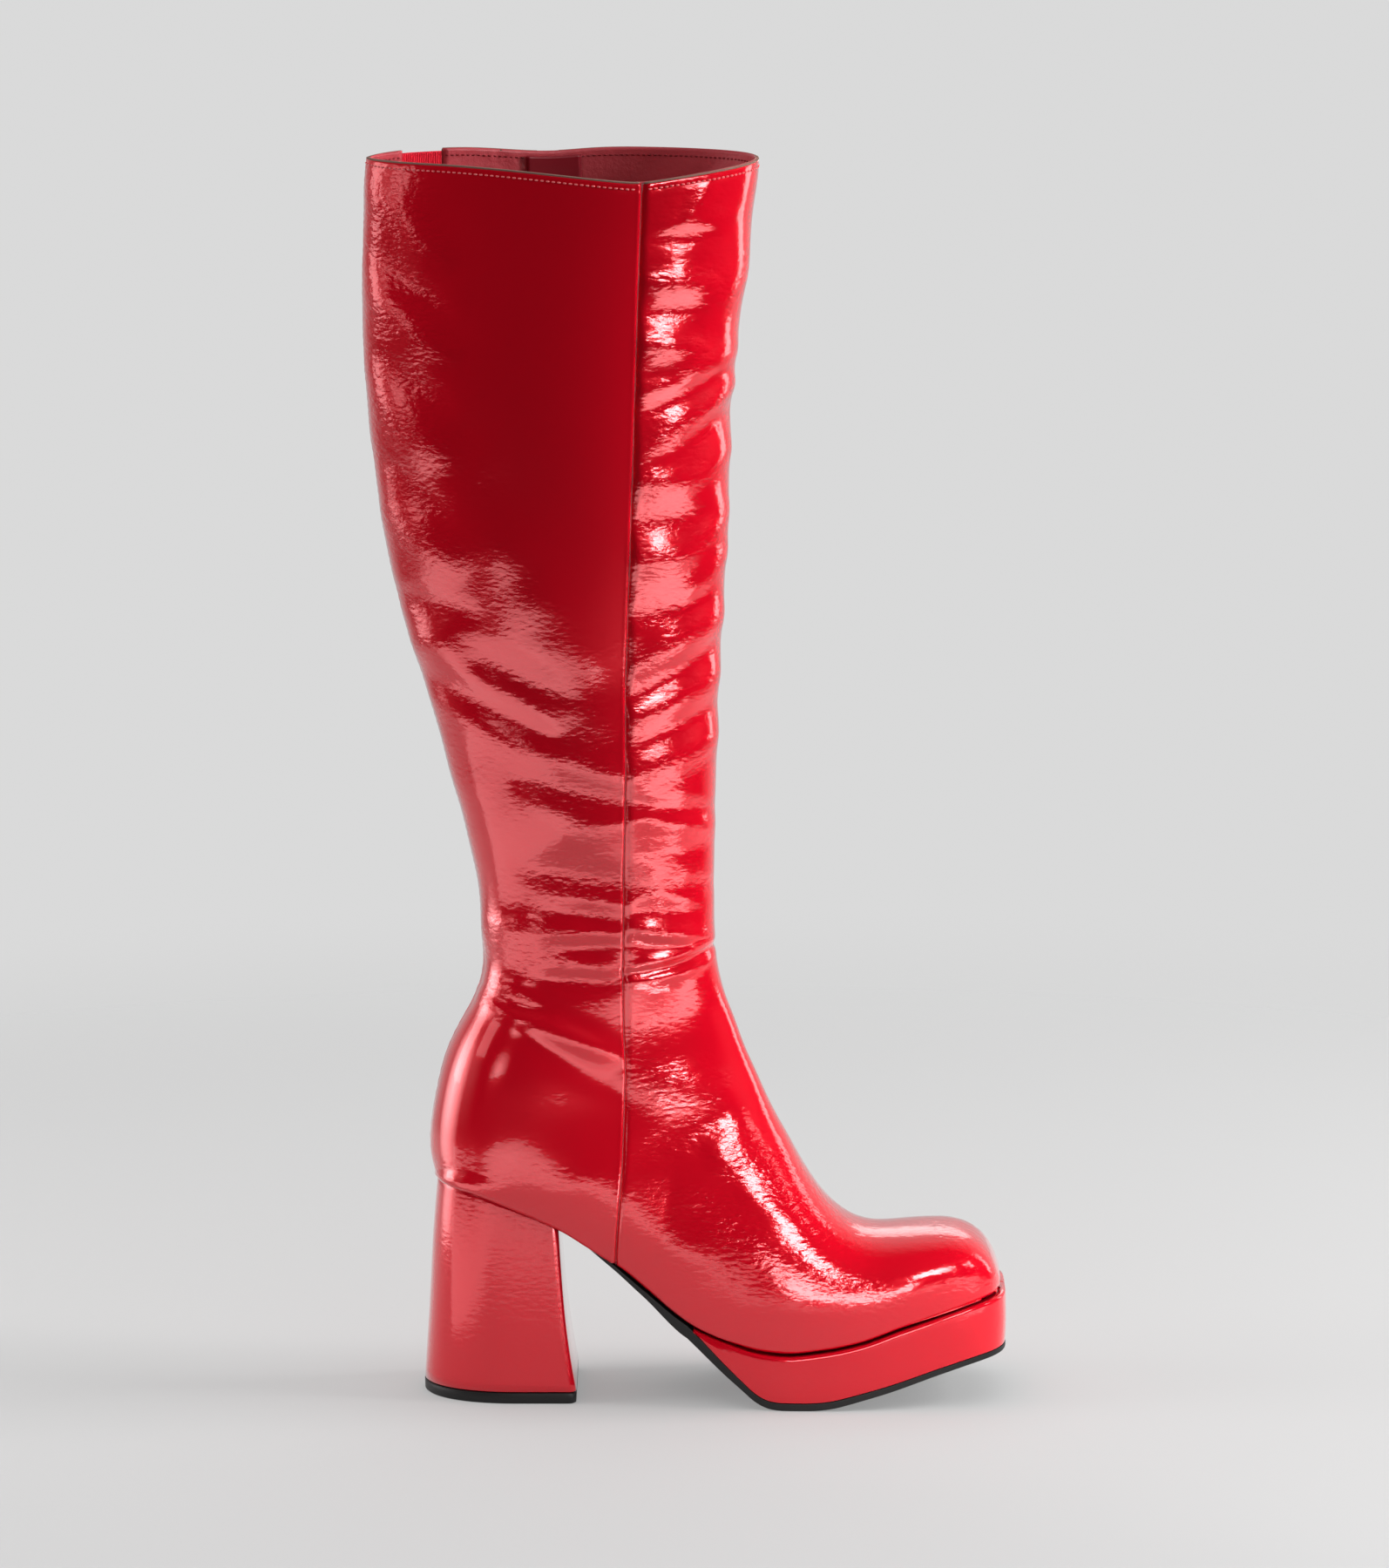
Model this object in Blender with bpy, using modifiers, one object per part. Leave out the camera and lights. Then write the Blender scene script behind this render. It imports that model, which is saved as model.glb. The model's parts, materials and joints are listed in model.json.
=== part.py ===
"""Knee-high platform boot for the right foot, with a block heel and an inside zip.

The boot is worked out in its last's own frame, in millimetres: x runs from the
back of the heel to the toe, y to the inner side of the leg (medial) and z up from
the floor. The outer side of the leg (lateral) lies at negative y. Each piece is
scaled to metres when its mesh is made, and all of them hang on one empty that
puts the middle of the boot's footprint at the world's origin.
"""

import math
from collections import namedtuple

import bmesh
import bpy
import numpy as np
from mathutils import Matrix, Vector

MM = 0.001
LATERAL, MEDIAL = -1, 1

# Driving sizes, in millimetres.
WALL = 1.8                 # patent outside and lining inside, stuck together
GAP = 0.3                  # clearance where two pieces meet
SEAT_GAP = 0.6             # clearance under the heel seat and shank, which the upper follows in steps
TOE_X = 233.6              # front of the upper's bottom edge
HEEL_X = 1.7               # back of the upper's bottom edge
HEEL_ROUND_X = 28.0        # where the heel seat's round end begins
TOE_ROUND_X = 195.0        # where the square toe's corners begin
HEEL_ROUND_POWER = 2.3
TOE_ROUND_POWER = 4.5
LEDGE = 2.4                # platform standing proud of the upper
LEDGE_START_X, LEDGE_FULL_X = 107.0, 138.0
SHANK_END_X = 104.0        # where the outsole leaves the upper for the platform
BREAST_X = 52.0            # front of the heel at its top
INSOLE_THICKNESS = 2.5
INSOLE_INSET = 2.7
LIFT_HEIGHT = 4.6

# The upper's bottom edge, seen from the side: height over the floor along the foot.
FEATHER_HEIGHT = (
    (1.7, 92.0), (15.0, 90.2), (30.0, 85.3), (51.0, 76.0), (73.0, 59.5), (86.0, 48.5), (107.0, 32.5),
    (121.0, 27.0), (136.0, 23.2), (146.0, 22.6), (159.0, 24.0), (175.0, 27.2), (192.0, 33.0),
    (210.0, 38.5), (224.0, 42.5), (236.0, 45.2),
)
# The same edge from below: half widths on the outer and inner side, before its ends are rounded.
FeatherWidth = namedtuple("FeatherWidth", "x lateral medial")
FEATHER_WIDTHS = (
    FeatherWidth(1.7, 27.5, 27.5), FeatherWidth(28.0, 27.5, 27.5), FeatherWidth(60.0, 27.6, 25.6),
    FeatherWidth(82.0, 29.2, 25.4), FeatherWidth(105.0, 33.2, 29.5), FeatherWidth(128.0, 38.3, 36.2),
    FeatherWidth(147.0, 41.2, 40.2), FeatherWidth(164.0, 41.6, 41.8), FeatherWidth(180.0, 40.6, 41.8),
    FeatherWidth(195.0, 38.6, 40.4), FeatherWidth(208.0, 36.0, 38.4), FeatherWidth(236.0, 30.0, 33.5),
)
# Under side and thickness of the outsole, along the foot; the flat stretch is what stands on the floor.
TREAD_HEIGHT = (
    (104.0, 28.6), (119.0, 14.5), (128.0, 6.6), (136.0, 1.6), (141.0, 0.0), (161.0, 0.0), (172.0, 3.0),
    (187.0, 7.2), (210.0, 14.6), (224.0, 18.4), (237.0, 21.0),
)
FLAT_ENDS = (141.0, 161.0)
OUTSOLE_THICKNESS = (
    (52.0, 1.2), (73.0, 1.8), (86.0, 2.6), (104.0, 5.2), (119.0, 4.2), (128.0, 3.4), (141.0, 3.0),
    (161.0, 3.0), (187.0, 2.7), (210.0, 2.4), (237.0, 2.2),
)

# Sections of the upper from the collar down to the back of the heel seat. A section's plane
# runs from the back seam (base) to the front of the leg (top), and is level across.
Section = namedtuple(
    "Section", "base_x base_z top_x top_z lateral medial widest base_power top_power start"
)
ShaftRow = namedtuple("ShaftRow", "back_x back_z front_x front_z half_width widest back_power")
SHAFT_ROWS = (
    ShaftRow(-26.0, 511.0, 134.3, 511.0, 41.0, 0.60, 1.75),
    ShaftRow(-27.2, 465.0, 128.5, 465.0, 43.0, 0.57, 1.80),
    ShaftRow(-26.7, 425.0, 124.0, 425.0, 44.0, 0.55, 1.85),
    ShaftRow(-22.0, 380.0, 121.6, 380.0, 42.5, 0.54, 1.90),
    ShaftRow(-14.0, 334.0, 120.0, 336.0, 39.5, 0.53, 1.95),
    ShaftRow(-3.0, 297.0, 118.0, 303.0, 36.8, 0.52, 2.00),
    ShaftRow(9.0, 255.0, 116.8, 265.0, 34.0, 0.52, 2.05),
    ShaftRow(17.5, 218.0, 115.9, 228.0, 32.0, 0.52, 2.10),
    ShaftRow(20.6, 190.0, 115.7, 200.0, 31.0, 0.52, 2.15),
    ShaftRow(19.5, 174.0, 115.7, 190.0, 31.5, 0.50, 2.20),
    ShaftRow(13.0, 158.0, 116.3, 182.0, 32.0, 0.48, 2.20),
    ShaftRow(6.2, 144.0, 117.2, 177.0, 32.3, 0.45, 2.20),
    ShaftRow(2.0, 130.0, 118.4, 172.0, 32.5, 0.42, 2.20),
    ShaftRow(-0.8, 114.0, 119.6, 168.0, 32.5, 0.38, 2.20),
    ShaftRow(-0.8, 101.0, 120.8, 164.0, 32.2, 0.36, 2.25),
    ShaftRow(1.7, 92.0, 122.0, 160.0, 32.0, 0.34, 2.30),
)
SHAFT_FRONT_POWER = 2.1
# How far the rim dips at the outer side seam, and how wide that dip is.
RIM_DIP, RIM_DIP_X, RIM_DIP_REACH = 6.5, 86.0, 62.0

# Sections of the foot, from the heel seat to the toe: each runs from the bottom edge at
# feather_x up to the ridge of the instep or toe box.
FootRow = namedtuple("FootRow", "feather_x ridge_x ridge_z lateral medial widest base_power top_power")
FOOT_ROWS = (
    FootRow(4.0, 122.9, 157.7, 31.9, 31.9, 0.33, 1.9, 2.1),
    FootRow(10.0, 125.0, 152.5, 31.8, 31.8, 0.32, 1.6, 2.1),
    FootRow(16.5, 126.5, 148.8, 31.6, 31.6, 0.31, 1.5, 2.1),
    FootRow(24.0, 128.0, 145.0, 31.5, 31.5, 0.30, 1.5, 2.1),
    FootRow(40.0, 131.0, 138.0, 31.4, 31.2, 0.28, 1.5, 2.1),
    FootRow(51.0, 133.2, 133.2, 31.7, 31.3, 0.27, 1.5, 2.1),
    FootRow(66.0, 136.0, 127.0, 32.7, 32.0, 0.27, 1.6, 2.1),
    FootRow(84.0, 139.2, 119.8, 34.7, 33.6, 0.26, 1.7, 2.1),
    FootRow(105.0, 143.0, 112.0, 38.0, 37.0, 0.26, 1.8, 2.1),
    FootRow(128.0, 148.5, 102.0, 41.8, 41.0, 0.25, 2.0, 2.1),
    FootRow(147.0, 155.0, 89.8, 43.7, 43.2, 0.25, 2.2, 2.1),
    FootRow(164.0, 164.0, 77.2, 43.9, 44.2, 0.27, 2.3, 2.2),
    FootRow(180.0, 177.0, 68.6, 42.8, 43.9, 0.30, 2.3, 2.4),
    FootRow(195.0, 192.0, 68.3, 40.6, 42.4, 0.34, 2.3, 2.5),
    FootRow(208.0, 206.0, 69.0, 37.4, 40.0, 0.36, 2.3, 2.6),
    FootRow(219.0, 217.0, 68.2, 33.6, 36.6, 0.38, 2.3, 2.6),
    FootRow(227.0, 225.0, 64.6, 28.8, 31.8, 0.40, 2.3, 2.6),
    FootRow(231.5, 230.5, 58.5, 22.8, 25.4, 0.40, 2.3, 2.6),
    FootRow(233.2, 233.9, 51.0, 15.8, 17.6, 0.40, 2.3, 2.6),
)

# Columns of the upper's mesh from the base to the top of each section.
LATERAL_COLUMNS = 22
# On the inner side the zip and the elastic gore cut the columns into stretches:
# back seam to gore, gore, gore to zip, zip, zip to front.
MEDIAL_STRETCHES = (3, 3, 5, 1, 11)
GORE_STRETCH, ZIP_STRETCH = 1, 3
GORE_SHARES = (0.28, 0.51)          # the gore's edges, as shares of the way from the back seam to the zip
GORE_LAST_ROW = 2
GORE_TOP_DROP = 2.5
GORE_THICKNESS = 1.0
ZIP_TOP = (47.0, 511.0)             # x and z of the zip's line at the collar and at its foot
ZIP_FOOT = (61.5, 108.0)
ZIP_SLOT_HALF = 4.0
ZIP_LAST_ROW = 19
ZIP_TOP_DROP = 1.5
# Half of the zip's cross profile: across the slot, and out from the upper's surface.
ZIP_TAPE_HALF, ZIP_TEETH_HALF = ZIP_SLOT_HALF - GAP, 2.4
ZIP_TAPE_IN, ZIP_TAPE_OUT, ZIP_TEETH_OUT = -1.5, -0.6, 0.4

# Slider and pull tab of the zip.
SLIDER_Z = 492.0
SLIDER_SIZE = (8.4, 11.0, 2.0)      # across the zip, along it, and out from it
SLIDER_BEVEL = 0.6
BRIDGE_RADIUS, BRIDGE_THICKNESS, BRIDGE_LEG = 2.4, 1.4, 1.25
BRIDGE_SINK = 0.8                   # how deep the bridge's feet go into the slider
PULL_LENGTH, PULL_WIDTH, PULL_THICKNESS = 24.0, 6.4, 1.4
PULL_BAR, PULL_WINDOW_LENGTH, PULL_WINDOW_WIDTH = 1.5, 3.4, 3.2
PULL_TIP_RADIUS = 2.4

# The heel block, level by level from its foot to its top.
HeelLevel = namedtuple("HeelLevel", "share back_x front_x half_width")
HEEL_LEVELS = (
    HeelLevel(0.00, -4.2, 59.0, 31.5),
    HeelLevel(0.18, -3.2, 56.9, 30.6),
    HeelLevel(0.40, -2.0, 54.8, 29.5),
    HeelLevel(0.70, -0.6, 52.9, 28.2),
    HeelLevel(1.00, 1.6, 51.5, 27.0),
)
HEEL_ROUND_SHARE = 0.62             # how much of the heel's length its round back takes
HEEL_BACK_POWER = 2.2
HEEL_STATIONS = 13

# Colours (linear), roughness and metallic values of the finishes.
PATENT_RED = ((0.50, 0.004, 0.012, 1.0), 0.16, 0.0)
LINING_RED = ((0.22, 0.012, 0.022, 1.0), 0.55, 0.0)
ELASTIC_RED = ((0.62, 0.018, 0.024, 1.0), 0.75, 0.0)
RUBBER_BLACK = ((0.020, 0.019, 0.019, 1.0), 0.60, 0.0)
ZIP_RED = ((0.34, 0.006, 0.012, 1.0), 0.50, 0.0)
ZIP_METAL = ((0.62, 0.61, 0.60, 1.0), 0.28, 1.0)


def clear_scene():
    """Removes whatever the scene holds at the start."""
    for obj in list(bpy.data.objects):
        bpy.data.objects.remove(obj)


def smooth_table(table, x):
    """Reads a table of (x, value) rows along a curve that never overshoots between two rows."""
    knots, values = (np.array(column, float) for column in zip(*table))
    x = np.clip(np.asarray(x, float), knots[0], knots[-1])
    spans = np.diff(knots)
    slopes = np.diff(values) / spans
    tangents = np.zeros_like(values)
    turning = slopes[:-1] * slopes[1:] <= 0
    weights = (2 * spans[1:] + spans[:-1], spans[1:] + 2 * spans[:-1])
    with np.errstate(divide="ignore", invalid="ignore"):
        means = (weights[0] + weights[1]) / (weights[0] / slopes[:-1] + weights[1] / slopes[1:])
    tangents[1:-1] = np.where(turning, 0.0, means)
    tangents[0], tangents[-1] = slopes[0], slopes[-1]
    i = np.clip(np.searchsorted(knots, x, side="right") - 1, 0, len(spans) - 1)
    t = (x - knots[i]) / spans[i]
    rise = values[i] * (1 + 2 * t) * (1 - t) ** 2 + values[i + 1] * t**2 * (3 - 2 * t)
    return rise + spans[i] * (tangents[i] * t * (1 - t) ** 2 - tangents[i + 1] * t**2 * (1 - t))


def quarter_round(share, power):
    """Height of a rounded corner of that power, from 0 at share 1 to 1 at share 0."""
    return (1 - np.clip(share, 0, 1) ** power) ** (1 / power)


def feather_height(x):
    """Height of the upper's bottom edge over the floor."""
    return smooth_table(FEATHER_HEIGHT, x)


def feather_half_width(x, side, grow=0.0):
    """Half width of the upper's bottom edge at x, widened all round by grow."""
    column = [(row.x, row.medial if side == MEDIAL else row.lateral) for row in FEATHER_WIDTHS]
    heel = quarter_round((HEEL_ROUND_X - x) / (HEEL_ROUND_X - HEEL_X + grow), HEEL_ROUND_POWER)
    toe = quarter_round((x - TOE_ROUND_X) / (TOE_X + grow - TOE_ROUND_X), TOE_ROUND_POWER)
    return (smooth_table(column, x) + grow) * heel * toe


def ledge_width(x):
    """How far the platform stands out beyond the upper at x: nothing at its thin back end."""
    t = np.clip((x - LEDGE_START_X) / (LEDGE_FULL_X - LEDGE_START_X), 0, 1)
    return LEDGE * t * t * (3 - 2 * t)


def tread_height(x):
    """Under side of the outsole: below the upper in the shank, then down to the floor and up to the toe."""
    shank = feather_height(x) - SEAT_GAP - smooth_table(OUTSOLE_THICKNESS, x)
    return np.where(x <= SHANK_END_X, shank, smooth_table(TREAD_HEIGHT, x))


def outsole_top(x):
    """Upper side of the outsole."""
    return tread_height(x) + smooth_table(OUTSOLE_THICKNESS, x)


def upper_sections():
    """Every section of the upper, from the collar down to the heel seat and then forward to the toe."""
    shaft = [
        Section(r.back_x, r.back_z, r.front_x, r.front_z, r.half_width, r.half_width, r.widest,
                r.back_power, SHAFT_FRONT_POWER, (0.0, 0.0))
        for r in SHAFT_ROWS
    ]
    foot = [
        Section(r.feather_x, float(feather_height(r.feather_x)), r.ridge_x, r.ridge_z, r.lateral, r.medial,
                r.widest, r.base_power, r.top_power,
                tuple(float(feather_half_width(r.feather_x, side)) for side in (LATERAL, MEDIAL)))
        for r in FOOT_ROWS
    ]
    return shaft + foot


def section_points(section, side, share):
    """Points of one side of a section, at those shares of the way from its base to its top."""
    start = section.start[side == MEDIAL]
    widest = section.medial if side == MEDIAL else section.lateral
    swell = quarter_round(1 - share / section.widest, section.base_power)
    close = quarter_round((share - section.widest) / (1 - section.widest), section.top_power)
    x = section.base_x + share * (section.top_x - section.base_x)
    z = section.base_z + share * (section.top_z - section.base_z)
    return np.stack([x, side * (start + (widest - start) * swell) * close, z], axis=-1)


def rim_dip(points):
    """Lowers the collar's outer side towards the side seam, where the rim sags."""
    near = np.clip(1 - np.abs(points[:, 0] - RIM_DIP_X) / RIM_DIP_REACH, 0, 1)
    outer = np.clip(-points[:, 1] / SHAFT_ROWS[0].half_width, 0, 1)
    points[:, 2] -= RIM_DIP * outer * near * near * (3 - 2 * near)
    return points


def zip_x(z):
    """Where the zip's line lies along the foot at a height."""
    t = (ZIP_TOP[1] - z) / (ZIP_TOP[1] - ZIP_FOOT[1])
    return ZIP_TOP[0] + t * (ZIP_FOOT[0] - ZIP_TOP[0])


def zip_share(section):
    """The share of a section at which the zip's line crosses it."""
    share = 0.5
    for _ in range(8):
        z = section.base_z + share * (section.top_z - section.base_z)
        share = (zip_x(z) - section.base_x) / (section.top_x - section.base_x)
    return share


class SideCurve:
    """One side of a section, measured along its own length."""

    SAMPLES = 600

    def __init__(self, section, side):
        angle = np.linspace(0, math.pi, self.SAMPLES)
        self.shares = (1 - np.cos(angle)) / 2
        self.points = section_points(section, side, self.shares)
        steps = np.linalg.norm(np.diff(self.points, axis=0), axis=1)
        self.lengths = np.concatenate([[0.0], np.cumsum(steps)])

    def length_at(self, share):
        """Length from the base to a share of the section."""
        return float(np.interp(share, self.shares, self.lengths))

    def at(self, lengths):
        """Points at those lengths from the base."""
        return np.stack(
            [np.interp(lengths, self.lengths, self.points[:, axis]) for axis in range(3)], axis=-1
        )


def medial_knots(section, curve, row):
    """Lengths at which the stretches of the inner side begin and end."""
    whole = curve.lengths[-1]
    if row > ZIP_LAST_ROW:
        counts = np.concatenate([[0], np.cumsum(MEDIAL_STRETCHES)])
        return whole * counts / counts[-1]
    middle = curve.length_at(zip_share(section))
    back = middle - ZIP_SLOT_HALF
    return np.array(
        [0.0, GORE_SHARES[0] * back, GORE_SHARES[1] * back, back, middle + ZIP_SLOT_HALF, whole]
    )


def spread(knots, counts):
    """Lengths of all columns, each stretch between two knots cut evenly."""
    parts = [np.linspace(a, b, n, endpoint=False) for a, b, n in zip(knots, knots[1:], counts)]
    return np.concatenate([*parts, knots[-1:]])


def upper_rows():
    """Points of the upper, row by row: up the outer side from base to top, and down the inner side."""
    rows = []
    for number, section in enumerate(upper_sections()):
        outer = SideCurve(section, LATERAL)
        inner = SideCurve(section, MEDIAL)
        up = outer.at(np.linspace(0, outer.lengths[-1], LATERAL_COLUMNS + 1))
        down = inner.at(spread(medial_knots(section, inner, number), MEDIAL_STRETCHES))[::-1]
        row = np.concatenate([up, down[1:]])
        rows.append(rim_dip(row) if number == 0 else row)
    rows.append(toe_edge(rows[-1]))
    return rows


def toe_edge(last_row):
    """The front of the bottom edge, across the toe, with one point for each column of the row behind it."""
    y = np.linspace(last_row[0, 1], last_row[-1, 1], len(last_row))
    widths = np.where(y < 0, FEATHER_WIDTHS[-1].lateral, FEATHER_WIDTHS[-1].medial)
    x = TOE_ROUND_X + (TOE_X - TOE_ROUND_X) * quarter_round(np.abs(y) / widths, TOE_ROUND_POWER)
    return np.stack([x, y, feather_height(x)], axis=-1)


def new_object(name, mesh, finish):
    """A named object with its own material, under the boot's empty."""
    obj = bpy.data.objects.new(name, mesh)
    bpy.data.collections["platform_boot"].objects.link(obj)
    colour, roughness, metallic = finish
    material = bpy.data.materials.new(name)
    material.use_nodes = True
    shader = material.node_tree.nodes["Principled BSDF"]
    shader.inputs["Base Color"].default_value = colour
    shader.inputs["Roughness"].default_value = roughness
    shader.inputs["Metallic"].default_value = metallic
    mesh.materials.append(material)
    obj.parent = bpy.data.objects["boot"]
    return obj


def grid_mesh(name, rows, left_out=()):
    """An open sheet through rows of points, given in millimetres, with doubled points welded."""
    rows = np.asarray(rows) * MM
    made = bmesh.new()
    grid = [[made.verts.new(point) for point in row] for row in rows]
    for r in range(len(grid) - 1):
        for c in range(len(grid[0]) - 1):
            if (r, c) not in left_out:
                made.faces.new((grid[r][c], grid[r + 1][c], grid[r + 1][c + 1], grid[r][c + 1]))
    bmesh.ops.remove_doubles(made, verts=made.verts, dist=1e-6)
    bmesh.ops.delete(made, geom=[v for v in made.verts if not v.link_faces], context="VERTS")
    return finished_mesh(name, made)


def loft_mesh(name, rings):
    """A closed solid through rings of points, in millimetres, with a flat cap at each end."""
    made = bmesh.new()
    loops = [[made.verts.new(point) for point in ring] for ring in np.asarray(rings) * MM]
    for a, b in zip(loops, loops[1:]):
        for i in range(len(a)):
            k = (i + 1) % len(a)
            made.faces.new((a[i], b[i], b[k], a[k]))
    made.faces.new(loops[0])
    made.faces.new(loops[-1][::-1])
    bmesh.ops.remove_doubles(made, verts=made.verts, dist=1e-6)
    bmesh.ops.recalc_face_normals(made, faces=made.faces)
    return finished_mesh(name, made)


def finished_mesh(name, made):
    """A shaded mesh from a bmesh."""
    mesh = bpy.data.meshes.new(name)
    made.to_mesh(mesh)
    made.free()
    mesh.shade_smooth()
    mesh.set_sharp_from_angle(angle=math.radians(40))
    return mesh


def add_solidify(obj, thickness):
    """Gives an open sheet its thickness, inwards from its outer face."""
    wall = obj.modifiers.new("wall", "SOLIDIFY")
    wall.thickness = thickness * MM
    wall.offset = -1.0


def medial_column(stretch):
    """Number of a medial stretch's first column from the base, and of its last one."""
    first = sum(MEDIAL_STRETCHES[:stretch])
    return first, first + MEDIAL_STRETCHES[stretch]


def make_upper():
    """The shaft and foot as one hollow wall, open at the collar, underneath, and at the gore and zip."""
    rows = upper_rows()
    columns = LATERAL_COLUMNS + sum(MEDIAL_STRETCHES)
    openings = set()
    for stretch, last_row in ((GORE_STRETCH, GORE_LAST_ROW), (ZIP_STRETCH, ZIP_LAST_ROW)):
        first, last = medial_column(stretch)
        openings |= {(r, c) for r in range(last_row) for c in range(columns - last, columns - first)}
    upper = new_object("upper", grid_mesh("upper", rows, openings), PATENT_RED)
    add_solidify(upper, WALL)
    return upper


def make_gore():
    """The elastic gore at the inner back of the collar, in its own slot of the upper."""
    rows = []
    for number, section in enumerate(upper_sections()[: GORE_LAST_ROW + 1]):
        curve = SideCurve(section, MEDIAL)
        knots = medial_knots(section, curve, number)
        lengths = np.linspace(
            knots[GORE_STRETCH] + GAP, knots[GORE_STRETCH + 1] - GAP, MEDIAL_STRETCHES[GORE_STRETCH] + 1
        )
        rows.append(curve.at(lengths)[::-1])
    rows[0] += (rows[1] - rows[0]) * GORE_TOP_DROP / (rows[0][0, 2] - rows[1][0, 2])
    rows[-1] += (rows[-2] - rows[-1]) * GAP / (rows[-2][0, 2] - rows[-1][0, 2])
    gore = new_object("elastic_gore", grid_mesh("elastic_gore", rows), ELASTIC_RED)
    add_solidify(gore, GORE_THICKNESS)
    return gore


def zip_line():
    """Points along the middle of the zip, and the directions across it and out of the leg, row by row."""
    points, across = [], []
    for section in upper_sections()[: ZIP_LAST_ROW + 1]:
        curve = SideCurve(section, MEDIAL)
        middle = curve.length_at(zip_share(section))
        back, front = curve.at(np.array([middle - ZIP_SLOT_HALF, middle + ZIP_SLOT_HALF]))
        points.append((back + front) / 2)
        across.append((front - back) / np.linalg.norm(front - back))
    points, across = np.array(points), np.array(across)
    along = np.gradient(points, axis=0)
    out = np.cross(across, along)
    return points, across, out / np.linalg.norm(out, axis=1)[:, None]


def make_zip_chain():
    """Tape and teeth of the closed zip as one strip along its slot."""
    points, across, out = zip_line()
    points[0] += (points[1] - points[0]) * ZIP_TOP_DROP / (points[0, 2] - points[1, 2])
    points[-1] += (points[-2] - points[-1]) * GAP / (points[-2, 2] - points[-1, 2])
    half = [(ZIP_TAPE_HALF, ZIP_TAPE_IN), (ZIP_TAPE_HALF, ZIP_TAPE_OUT), (ZIP_TEETH_HALF, ZIP_TAPE_OUT),
            (ZIP_TEETH_HALF, ZIP_TEETH_OUT)]
    profile = half + [(-a, b) for a, b in half[::-1]]
    rings = [[p + a * s + b * n for a, b in profile] for p, s, n in zip(points, across, out)]
    return new_object("zip_chain", loft_mesh("zip_chain", rings), ZIP_RED)


def slider_frame():
    """The slider's place on the zip, as a matrix: x across to the back, y up along it, z out of the leg."""
    points, across, out = zip_line()
    t = (points[0, 2] - SLIDER_Z) / (points[0, 2] - points[1, 2])
    place = points[0] + t * (points[1] - points[0])
    up = Vector(points[0] - points[1]).normalized()
    normal = Vector((1 - t) * out[0] + t * out[1]).normalized()
    forward = up.cross(normal).normalized()
    normal = forward.cross(up)
    return Matrix.LocRotScale(Vector(place) * MM, Matrix((forward, up, normal)).transposed(), None)


def slider_levels():
    """Heights out from the upper of the slider's foot, its top and the pull tab's axis."""
    foot = ZIP_TEETH_OUT + GAP
    top = foot + SLIDER_SIZE[2]
    return foot, top, top + BRIDGE_LEG


def box_mesh(name, size, centre):
    """A box of that size, in millimetres, about a centre."""
    made = bmesh.new()
    bmesh.ops.create_cube(made, size=1.0)
    bmesh.ops.scale(made, vec=Vector(size) * MM, verts=made.verts)
    bmesh.ops.translate(made, vec=Vector(centre) * MM, verts=made.verts)
    return finished_mesh(name, made)


def bridge_mesh(axis_height, foot_height):
    """The slider's bridge: a round wire from the slider up, over the pull tab's bar and down again."""
    turns = [math.pi * i / 8 for i in range(9)]
    arch = [(0, BRIDGE_RADIUS * math.cos(a), axis_height + BRIDGE_RADIUS * math.sin(a)) for a in turns]
    route = [(0, BRIDGE_RADIUS, foot_height), *arch, (0, -BRIDGE_RADIUS, foot_height)]
    curve = bpy.data.curves.new("bridge", "CURVE")
    curve.dimensions = "3D"
    curve.bevel_depth = BRIDGE_THICKNESS / 2 * MM
    curve.bevel_resolution = 1
    curve.use_fill_caps = True
    wire = curve.splines.new("POLY")
    wire.points.add(len(route) - 1)
    for point, place in zip(wire.points, route):
        point.co = (*(Vector(place) * MM), 1)
    guide = bpy.data.objects.new("bridge_guide", curve)
    bpy.context.scene.collection.objects.link(guide)
    mesh = bpy.data.meshes.new_from_object(guide.evaluated_get(bpy.context.evaluated_depsgraph_get()))
    bpy.data.objects.remove(guide)
    made = bmesh.new()
    made.from_mesh(mesh)
    bmesh.ops.remove_doubles(made, verts=made.verts, dist=1e-6)
    bmesh.ops.recalc_face_normals(made, faces=made.faces)
    made.to_mesh(mesh)
    made.free()
    return mesh


def make_slider():
    """The zip's slider, with the bridge that holds the pull tab."""
    foot, top, axis_height = slider_levels()
    plate = box_mesh("zip_slider", SLIDER_SIZE, (0, 0, (foot + top) / 2))
    slider = new_object("zip_slider", plate, ZIP_METAL)
    slider.matrix_local = slider_frame()
    edge = slider.modifiers.new("edges", "BEVEL")
    edge.width = SLIDER_BEVEL * MM
    edge.segments = 1
    bridge = bpy.data.objects.new("bridge", bridge_mesh(axis_height, top - BRIDGE_SINK))
    bpy.data.collections["cutters"].objects.link(bridge)
    bridge.hide_render = True
    bridge.display_type = "WIRE"
    bridge.parent = bpy.data.objects["boot"]
    bridge.matrix_local = slider_frame()
    joined = slider.modifiers.new("bridge", "BOOLEAN")
    joined.operation = "UNION"
    joined.object = bridge
    return slider


def add_outline(curve, corners):
    """Adds a closed outline of straight lines to a flat curve, in millimetres."""
    line = curve.splines.new("POLY")
    line.points.add(len(corners) - 1)
    for point, (x, y) in zip(line.points, corners):
        point.co = (x * MM, y * MM, 0, 1)
    line.use_cyclic_u = True


def pull_outline():
    """The pull tab's outline about its axis, round at the tip."""
    half, radius = PULL_WIDTH / 2, PULL_TIP_RADIUS
    tip = PULL_BAR / 2 - PULL_LENGTH
    turns = [math.pi / 2 * i / 4 for i in range(5)]
    right = [(half - radius + radius * math.cos(a), tip + radius - radius * math.sin(a)) for a in turns]
    left = [(-x, y) for x, y in right[::-1]]
    return [(half, PULL_BAR / 2), *right, *left, (-half, PULL_BAR / 2)]


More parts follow.
